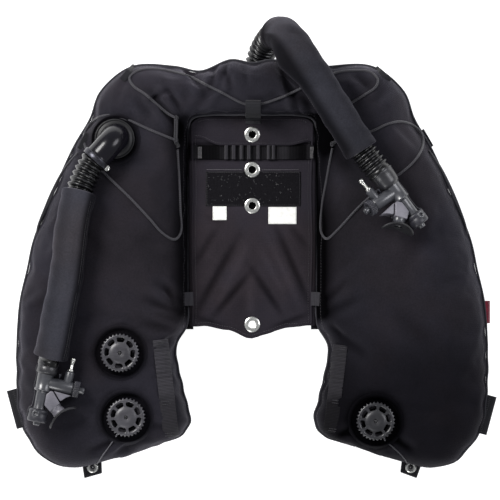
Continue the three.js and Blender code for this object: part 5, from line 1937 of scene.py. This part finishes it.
def make_shoulder_elbow():
    """Well, flange and glossy dome from which the left hose starts."""
    x, y, floor = SHOULDER_PORT
    make_well("well_shoulder", x, y, floor, SHOULDER_SEAT, 20)
    profile = raised([(17, 0.4), (28.6, 0.4), (29.3, 1.0), (29.3, 4.0), (28.6, 4.7), (27.4, 4.8),
                      (26.8, 4.1), (25.4, 4.1), (24.8, 4.8), (22.5, 5.0), (21.4, 6.5), (21.2, 12),
                      (17, 12)], floor)
    flange = turned("elbow_flange", profile, (x, y, 0), MOUTH_RUBBER, "plastic", sides=96,
                    stands_for=["shoulder_elbow"])
    set_tone(flange, lambda p: np.full(len(p), -0.6))
    away = np.array([-0.665, -0.747, 0])
    centre = np.array([x, y, 0]) - away * 2.5
    line = [centre + (0, 0, floor + 3), centre + (0, 0, floor + 12), centre + away * 2.0 + (0, 0, 117.5),
            centre + away * 7.5 + (0, 0, 124.2), centre + away * 15 + (0, 0, 127.8),
            centre + away * 24 + (0, 0, 128.8), np.array(LEFT_ROUTE[0]) + away * 3.5]
    path = smooth_line(line, 0.9)
    along = arc_lengths(path)
    share = along / along[-1]
    radius = 20.6 - 1.2 * smoothstep(share * 2) + 0.9 * np.exp(-((share - 0.90) / 0.035) ** 2)
    radius = radius - 1.6 * smoothstep((share - 0.95) / 0.05)
    tube("elbow_dome", path, radius, GLOSS_PLASTIC, "gloss_plastic", sides=64)
    end = np.array(LEFT_ROUTE[0]) + away * 1.0
    turned("hose_band_left", band_profile(20.9, 21.7, 22.0, 4.2), end, STEEL_DARK, "steel", sides=80,
           axis=tuple(away))
    side_way = np.array([0.747, -0.665, 0])
    seat = end + side_way * 20.6 + (0, 0, 7.5)
    make_clamp_head("clamp_head_left", seat, away, side_way)


def make_rear_elbow():
    """Flange, turret and dome behind the yoke, from which the right hose starts."""
    x, y, ceiling = REAR_PORT
    flange = [(16, -3.8), (22, -3.8), (22.9, -3.0), (22.9, -1.2), (22.2, -0.5), (16, -0.5)]
    turned("rear_flange", raised(flange, ceiling), (x, y, 0), PLASTIC, "plastic", sides=80,
           stands_for=["rear_elbow"])
    line = [(x, y, ceiling - 1), (x, y, 36), (x + 0.1, y + 1.5, 30), (x + 0.5, y + 6, 24.5),
            (x + 1, y + 13, 21.8), (x + 1.8, y + 23.5, 21.5)]
    path = smooth_line(line, 0.9)
    share = arc_lengths(path) / arc_lengths(path)[-1]
    radius = 17.6 + 0.7 * np.exp(-((share - 0.88) / 0.04) ** 2)
    tube("rear_dome", path, radius, GLOSS_PLASTIC, "gloss_plastic", sides=56)
    lid = [(0.01, 3.9), (17.2, 3.9), (18.6, 4.6), (18.9, 6), (18.9, 30), (17.5, 31.5), (0.01, 31.5)]
    turned("rear_turret", lid, (x, y, 0), PLASTIC, "plastic", sides=72)
    away = unit(np.array(RIGHT_ROUTE[1]) - np.array(RIGHT_ROUTE[0]))
    end = np.array(RIGHT_ROUTE[0]) + away * 3.2
    turned("hose_band_right", band_profile(20.8, 21.5, 21.8, 4), end, STEEL_DARK, "steel", sides=80,
           axis=tuple(away))
    make_clamp_head("clamp_head_right", end + (-22.5, 0, 6), away, (-1, 0, 0))


make_shoulder_elbow()
make_rear_elbow()


# ---- sleeves over the hoses -------------------------------------------------------------------
def interpolated_x(path):
    """The centreline's X for a Y, along the falling part of a hose."""
    peak = int(np.argmax(path[:, 1]))
    falling = path[peak:][::-1]
    return lambda y: np.interp(y, falling[:, 1], falling[:, 0])


SLEEVE_SLACK = {"left": 0.0, "right": 11.0}    # loose cloth inside the right sleeve's bend
SLACK_PLACE, SLACK_WAY = (64, 312), (-0.82, -0.57, 0)


def make_sleeve(side, route, seam_turn, seed, across):
    """A cloth tube with hems, a lengthwise seam and soft wrinkles where it bends."""
    random = np.random.default_rng(seed)
    step = 2.2
    path = smooth_line(route, step, per=24)
    along = arc_lengths(path)
    length = along[-1]
    frame_side, frame_up = carried_frames(path, start=(0, 0, 1))
    turns = 72
    angles = np.arange(turns) * 2 * math.pi / turns
    ahead = tangents(path)
    bend = np.gradient(ahead, axis=0) / step
    phases = random.uniform(0, 2 * math.pi, 12)
    groove_at = SLEEVE_HEM + 0.5
    outer = []
    for k, point in enumerate(path):
        s = along[k]
        inward = bend[k]
        ring = []
        for angle in angles:
            way = frame_side[k] * math.cos(angle) + frame_up[k] * math.sin(angle)
            squeeze = max(way.dot(inward) * 26, 0.0)
            wrinkle = 0.5 * math.sin(s * 0.11 + 2 * angle + phases[0])
            wrinkle += 0.34 * math.sin(s * 0.23 - 3 * angle + phases[1])
            wrinkle += 0.45 * math.sin(s * 0.047 + angle + phases[2])
            folds = 2.6 * squeeze * math.sin(s * 2 * math.pi / (15 + 3 * math.sin(phases[3] + 2 * angle))
                                             + phases[4])
            turn = (angle - seam_turn + math.pi) % (2 * math.pi) - math.pi
            seam = 0.8 * math.exp(-(turn / 0.05) ** 2) - 0.45 * math.exp(-((abs(turn) - 0.12) / 0.05) ** 2)
            hem = 0.55 * (smoothstep((SLEEVE_HEM - s) / 1.5) + smoothstep((s - length + SLEEVE_HEM) / 1.5))
            groove = -0.35 * (math.exp(-(s - groove_at) ** 2) + math.exp(-(s - length + groove_at) ** 2))
            slack = SLEEVE_SLACK[side] * math.exp(-(np.hypot(*(point[:2] - SLACK_PLACE)) / 30) ** 2)
            slack *= max(way.dot(SLACK_WAY), 0.0) ** 2
            radius = SLEEVE_RADIUS - 0.9 + wrinkle + folds + seam + hem + groove + slack
            ring.append(point + way * radius)
        outer.append(ring)
    outer = np.array(outer)
    inner = path[:, None, :] + (outer - path[:, None, :]) * ((SLEEVE_BORE + 0.3) / SLEEVE_RADIUS)
    lip_start = (outer[:1] + inner[:1]) / 2 - ahead[0] * 1.1
    lip_end = (outer[-1:] + inner[-1:]) / 2 + ahead[-1] * 1.1
    rings = np.concatenate([lip_start, outer, lip_end, inner[::-1]])
    count = len(rings)
    lengths = np.concatenate([[0], along, [length], along[::-1]])
    uv = np.stack(np.broadcast_arrays(angles[None, :] * SLEEVE_RADIUS, lengths[:, None]),
                  axis=-1).reshape(-1, 2)
    sleeve = make_piece(f"sleeve_{side}", rings.reshape(-1, 3), ring_faces(count, turns, closed=True),
                        SLEEVE_CLOTH, "sleeve_cloth", uv=uv, stands_for=[f"{side}_sleeve"])
    edge_x = interpolated_x(path)

    # Painted light and shade across each sleeve: the left one lit in its middle, darker on its left side
    # and in painted shadow at its right edge; the right one darker overall, most on its left side.
    def tone(points):
        aside = (points[:, 0] - edge_x(points[:, 1])) * across
        if side == "left":
            return 0.10 - 0.42 * smoothstep((2 - aside) / 20) - 0.85 * smoothstep((aside - 9) / 11)
        return -0.18 - 0.62 * smoothstep((-4 - aside) / 16) - 0.25 * smoothstep((aside - 8) / 12)

    set_tone(sleeve, tone)
    rows = []
    for offset in (-2.6, 2.6):
        turn = seam_turn + offset / SLEEVE_RADIUS
        line = [point + (a * math.cos(turn) + b * math.sin(turn)) * (SLEEVE_RADIUS - 0.6)
                for point, a, b in zip(path, frame_side, frame_up)]
        rows.append((np.array(line), (frame_side * math.cos(turn) + frame_up * math.sin(turn))))
    parts = [stitch_mesh(line, normal.mean(axis=0), pitch=3.4, length=2.4, radius=0.27) for line,
             normal in rows]
    points, polygons, uv = join_meshes(parts)
    thread = make_piece(f"sleeve_stitches_{side}", points, polygons, THREAD, "cord", uv=uv)
    return [sleeve, thread]


SLEEVES = {
    "left": make_sleeve("left", [(-253.2, 112.5, 136.2)] + LEFT_ROUTE[5:17], math.radians(148), 3, 0.98),
    "right": make_sleeve("right", RIGHT_ROUTE[6:17], math.radians(40), 5, 0.82),
}


# ---- inflators --------------------------------------------------------------------------------
class Inflator:
    """Power inflator in its own frame: hose end at the origin, body along -Y, arm towards +X."""

    SPOUT = unit((0.76, -0.65, 0))
    NECK_START = np.array((22.2, -57.2, 0.0))
    CAP_RISE = 5.0

    def __init__(self, side, at, heading, roll, arm, stem, pin):
        self.side = side
        turn = math.atan2(heading[1], heading[0]) + math.pi / 2
        spin = np.array([[math.cos(turn), -math.sin(turn), 0], [math.sin(turn), math.cos(turn), 0],
                         [0, 0, 1]])
        over = np.array([[math.cos(roll), 0, math.sin(roll)], [0, 1, 0],
                         [-math.sin(roll), 0, math.cos(roll)]])
        self.turn = spin @ over
        self.at = np.array([at[0], at[1], INFLATOR_AXIS])
        self.face = -1 if math.cos(roll) < 0 else 1
        self.arm_start = np.array((0.0, arm[0], 0.0))
        self.arm_way = unit((math.cos(arm[1]), math.sin(arm[1]), 0))
        self.stem, self.pin = stem, pin
        self.pieces = []
        self.body()
        self.arm()
        self.spout()
        self.mouthpiece()
        self.nipple()
        self.buttons()

    def place(self, points):
        """From the inflator's frame to the wing's."""
        return np.asarray(points, float) @ self.turn.T + self.at

    def add(self, name, points, polygons, material, slot, tidy=True, width=0.0, segments=3, **options):
        piece = make_piece(f"{name}_{self.side}", self.place(points), polygons, material, slot, **options)
        if tidy:
            tidy_mesh(piece)
        if width:
            bevel(piece, width, segments)
        if options.get("body", WING) == WING:
            self.pieces.append(piece)
        return piece

    def lathe(self, name, profile, at, axis, material, slot, sides=72, **options):
        points, polygons = lathe_mesh(profile, sides)
        points = points @ turn_to(axis).T + np.asarray(at, float)
        return self.add(name, points, polygons, material, slot, **options)

    def prism(self, name, outline, low, high, material, slot, width, **options):
        """A flat-faced block: a plan outline given in order, between two heights."""
        count = len(outline)
        points = [(x, y, low) for x, y in outline] + [(x, y, high) for x, y in outline]
        polygons = [tuple(range(count))[::-1], tuple(range(count, 2 * count))]
        polygons += [(k, (k + 1) % count, (k + 1) % count + count, k + count) for k in range(count)]
        return self.add(name, points, polygons, material, slot, width=width, **options)

    def body(self):
        """Collar, barrel, end cap, the boss on its face and the spine along its back."""
        down = (0, -1, 0)
        collar = [(9, -15), (14.6, -15), (15.4, -14.2), (15.5, -9.4), (15.0, -8.8), (15.0, -8.0),
                  (15.5, -7.4), (15.5, -2.6), (14.9, -1.8), (14.6, 1.6), (15.0, 2.6), (15.2, 8.8),
                  (14.6, 9.8), (13.6, 10.6), (12.6, 12.2), (9, 12.2)]
        if self.side == "right":
            collar = [(9, -14.5), (17.6, -14.5), (18.2, -13.8), (18.2, -11), (17.6, -10.4), (17.2, -2),
                      (16.4, 5), (15.6, 8.6), (14.6, 9.8), (13.6, 10.6), (12.6, 12.2), (9, 12.2)]
        self.lathe("inflator_collar", collar, (0, 0, 0), down, COLLAR_PLASTIC, "plastic", sides=96)
        barrel = [(0.01, 9), (11.2, 9), (12.2, 10), (12.4, 12), (12.1, 13.4), (12.0, 24), (11.9, 33.4),
                  (12.6, 34.2), (12.7, 35.6), (12.2, 36.6), (10.6, 37.2), (9.3, 38.2), (8.9, 40), (8.5, 54),
                  (8.5, 63), (9.2, 65.5), (0.01, 65.5)]
        self.lathe("inflator_barrel", barrel, (-0.6, 0, 0), down, INFLATOR_PLASTIC, "plastic", sides=96,
                   stands_for=[f"{self.side}_inflator_body"])
        cap = [(0.01, 69), (12.4, 69), (13.8, 69.8), (14.5, 71.2), (14.5, 74.2), (14.0, 74.8), (14.0, 76.6),
               (14.5, 77.2), (14.5, 85), (14.0, 86.6), (12.8, 87.8), (8.0, 88.2), (7.6, 87.6), (7.4, 85.2),
               (5.9, 84.6), (5.8, 77.4), (0.01, 77.2)]
        self.lathe("inflator_cap", cap, (-0.6, self.CAP_RISE, 0), down, PLASTIC, "plastic", sides=96)
        boss = [(0.01, 11.0), (5.6, 11.0), (5.5, 14.2), (5.0, 15.1), (4.2, 15.4), (3.0, 15.3), (2.3, 14.8),
                (2.1, 14.0), (2.0, 12.2), (0.01, 12.1)]
        self.lathe("inflator_boss", boss, (-3.6, self.CAP_RISE - 76.0, 0), (0, 0, self.face),
                   INFLATOR_PLASTIC, "plastic", sides=48)
        spine = [(-15.2, 0.5), (-16.0, -6.5), (-13.6, -12.5), (-13.6, -22), (-14.1, -30), (-12.1, -36.5),
                 (-10.9, -44), (-11.2, -55), (-12.0, -61), (-15.2, -64.4), (-16.0, -70), (-15.4, -77),
                 (-13.2, -82.2)]
        path = smooth_line([(x, y, -1.2 * self.face) for x, y in spine], 0.8, per=8)
        side, up = carried_frames(path, start=(0, 0, self.face))
        points, polygons, uv = sweep_mesh(path, rounded_bar(1.5, 5.2, 0.6), side, up)
        self.add("inflator_spine", points, polygons, PLASTIC, "plastic", tidy=False, uv=uv)

    def arm(self):
        """The tube that the inflate button and its knurled ring sit on."""
        tube_profile = [(0.01, 3), (9.0, 3), (9.5, 6), (9.5, 39.6), (8.9, 40.4), (8.7, 43.2), (0.01, 43.2)]
        self.lathe("inflator_arm", tube_profile, self.arm_start, self.arm_way, INFLATOR_PLASTIC, "plastic",
                   sides=80)
        points, polygons = knurled_mesh(12.0, 24, 43.0, 52.0, 5.3, 44.2)
        points = points @ turn_to(self.arm_way).T + self.arm_start
        self.add("inflator_knurl", points, polygons, PLASTIC, "plastic", width=0.35, segments=2)

    def spout(self):
        """Block and web between the barrel and the mouthpiece, and the neck."""
        block = [(11.2, -34.4), (5.9, -40.4), (6.0, -57.0), (16.4, -64.6), (28.2, -50.0), (14.6, -34.4)]
        # The block and web are lighter as painted light on their flat faces.
        self.prism("inflator_block", block, -9.4, 9.4, SATIN_PLASTIC_LIT, "plastic", 1.5, segments=4)
        web = [(16.0, -33.6), (42.2, -35.8), (34.8, -40.0), (29.0, -46.0), (27.0, -45.8)]
        self.prism("inflator_web", web, -7.4, 7.4, SATIN_PLASTIC_LIT, "plastic", 0.9)
        neck = [(6.4, -3), (8.6, -3), (9.3, 0), (9.4, 1.0), (9.0, 1.6), (8.9, 4.0), (9.2, 7.2), (9.8, 8.0),
                (9.8, 10.2), (9.2, 11.0), (8.8, 11.0), (8.0, 10.4), (7.2, 9.8), (6.4, 9.8)]
        # Painted light: only the left neck is lighter; the right one keeps the body's plastic.
        plastic = SATIN_PLASTIC_LIT if self.side == "left" else INFLATOR_PLASTIC
        self.lathe("inflator_neck", neck, self.NECK_START, self.SPOUT, plastic, "plastic", sides=64)

    def mouthpiece(self):
        """Bite flange: a curved oval plate with a thick rim and a real bore."""
        rows, columns = 14, 72
        radius, reach, tallest, hole = 37.0, 0.72, 15.5, 6.2
        end = self.NECK_START + self.SPOUT * 10.4
        centre = end + self.SPOUT * radius
        aside = np.array((-self.SPOUT[1], self.SPOUT[0], 0))
        layers = []
        for inner in (False, True):
            for k in range(rows + 1):
                share = k / rows
                ring = []
                for c in range(columns):
                    angle = 2 * math.pi * c / columns
                    across = (hole + (radius * reach - hole) * share) * math.cos(angle)
                    tall = (hole + (tallest - hole) * share) * math.sin(angle)
                    bulge = math.exp(-((share - 0.97) / 0.06) ** 2) + 0.8 * math.exp(-(share / 0.1) ** 2)
                    thick = (1.0 + bulge) * (0.45 if k in (0, rows) else 1.0)
                    depth = radius + (thick if not inner else -thick)
                    bend = across / radius
                    way = -self.SPOUT * math.cos(bend) + aside * math.sin(bend)
                    ring.append(centre + way * depth + (0, 0, tall))
                layers.append(ring)
        rings = layers[:rows + 1] + layers[rows + 1:][::-1]
        points = np.array(rings).reshape(-1, 3)
        self.add("mouthpiece_plate", points, ring_faces(len(rings), columns, closed=True), MOUTH_RUBBER,
                 "rubber", stands_for=[f"{self.side}_mouthpiece"])

    def nipple(self):
        """The air nipple on its spigot, and the pin beside it."""
        lean = unit((0.05, 1, 0))
        base = [(0.01, -19), (6.1, -19), (6.5, -17), (6.5, -3.0), (6.2, -1.8), (5.2, -0.9), (4.4, -0.6),
                (0.01, -0.6)]
        seat = np.array((*self.stem, 0.0))
        self.lathe("inflator_spigot", base, seat, lean, INFLATOR_PLASTIC, "plastic", sides=64)
        stem = [(0.01, -0.8), (4.3, -0.8), (4.6, -0.3), (4.6, 1.8), (4.2, 2.4), (3.1, 2.6), (2.8, 3.2),
                (2.8, 7.6), (2.4, 8.2), (2.4, 10.8), (2.8, 11.4), (2.8, 13.4), (3.3, 14.2), (3.9, 14.8),
                (3.9, 17.8), (3.4, 19.0), (2.2, 19.2), (1.6, 18.8), (1.5, 16), (0.01, 15.8)]
        self.lathe("nipple", stem, seat, lean, STEEL, "steel", sides=48,
                   stands_for=[f"{self.side}_air_nipple"])
        knob = [(0.01, 0), (2.1, 0), (2.1, 6.4), (2.6, 7.0), (2.7, 8.6), (2.2, 9.6), (1.0, 10.1),
                (0.01, 10.2)]
        foot = self.arm_start + self.arm_way * self.pin + (0, 7.6, 0)
        self.lathe("inflator_pin", knob, foot, (0.05, 1, 0), STEEL_DARK, "steel", sides=32)

    def buttons(self):
        """The two buttons, each on its own body."""
        press = [(0.01, 47.6), (4.7, 47.6), (4.9, 48.4), (4.9, 57.6), (4.6, 58.8), (3.8, 59.4), (3.0, 59.0),
                 (2.4, 58.7), (0.01, 58.6)]
        self.lathe("button_inflate", press, self.arm_start, self.arm_way, INFLATOR_PLASTIC, "plastic",
                   sides=48, body=f"{self.side}_inflate_button", stands_for=[f"{self.side}_inflate_button"])
        vent = [(0.01, 81.4), (4.9, 81.4), (5.1, 82.2), (5.1, 91.2), (4.8, 92.3), (4.0, 92.9), (0.01, 93.0)]
        self.lathe("button_deflate", vent, (0, self.CAP_RISE, 0), (0, -1, 0), INFLATOR_PLASTIC, "plastic",
                   sides=48, body=f"{self.side}_deflate_button", stands_for=[f"{self.side}_deflate_button"])


def knurled_mesh(radius, teeth, low, high, bore, floor):
    """A ring with rounded teeth round its rim and a bore open at its high end."""
    turns = teeth * 8
    outline = []
    for k in range(turns):
        angle = 2 * math.pi * k / turns
        wave = math.cos(teeth * angle)
        outline.append((angle, radius - 0.45 + 0.45 * max(-0.7, min(0.7, 1.6 * wave)) / 0.7))
    levels = [(0.92, low), (1.0, low + 0.8), (1.0, high - 0.8), (0.93, high)]
    points, count = [], len(outline)
    for scale, z in levels:
        points += [(r * scale * math.cos(a), r * scale * math.sin(a), z) for a, r in outline]
    for r, z in ((bore + 1.2, high), (bore + 0.4, high - 0.5), (bore, high - 1.2), (bore, floor),
                 (0.02, floor)):
        points += [(r * math.cos(a), r * math.sin(a), z) for a, _ in outline]
    points += [(0.02 * math.cos(a), 0.02 * math.sin(a), low) for a, _ in outline]
    return np.array(points), ring_faces(len(levels) + 6, count, closed=True)


INFLATORS = {
    "left": Inflator("left", (-299, -141.5), (-0.194, -0.981), 0.0, (-24.4, -0.02), (34.0, -0.5), 20),
    "right": Inflator("right", (196.2, 131.4), (0.61, -0.792), math.pi + 0.43, (-21.5, 0.06), (32.5, 4.5),
                      20),
}


# ---- hose paths, and the bladders -------------------------------------------------------------
def declare_hoses():
    """Reads each hose's path in metres and its first point, and keeps nothing."""
    for side, (hose, path, length) in HOSES.items():
        centre = path * MM
        exit_point = tuple(float(value) for value in centre[0])
        [tuple(map(float, point)) for point in centre[::6]]


def finish_bladders():
    """Film on the two bladders, whose CAD solids stay in the scene."""
    for node in ("front_bladder", "rear_bladder"):
        piece = bpy.data.objects.get(node)
        piece.data.materials.clear()
        piece.data.materials.append(FILM)


declare_hoses()
finish_bladders()

bpy.context.view_layer.update()
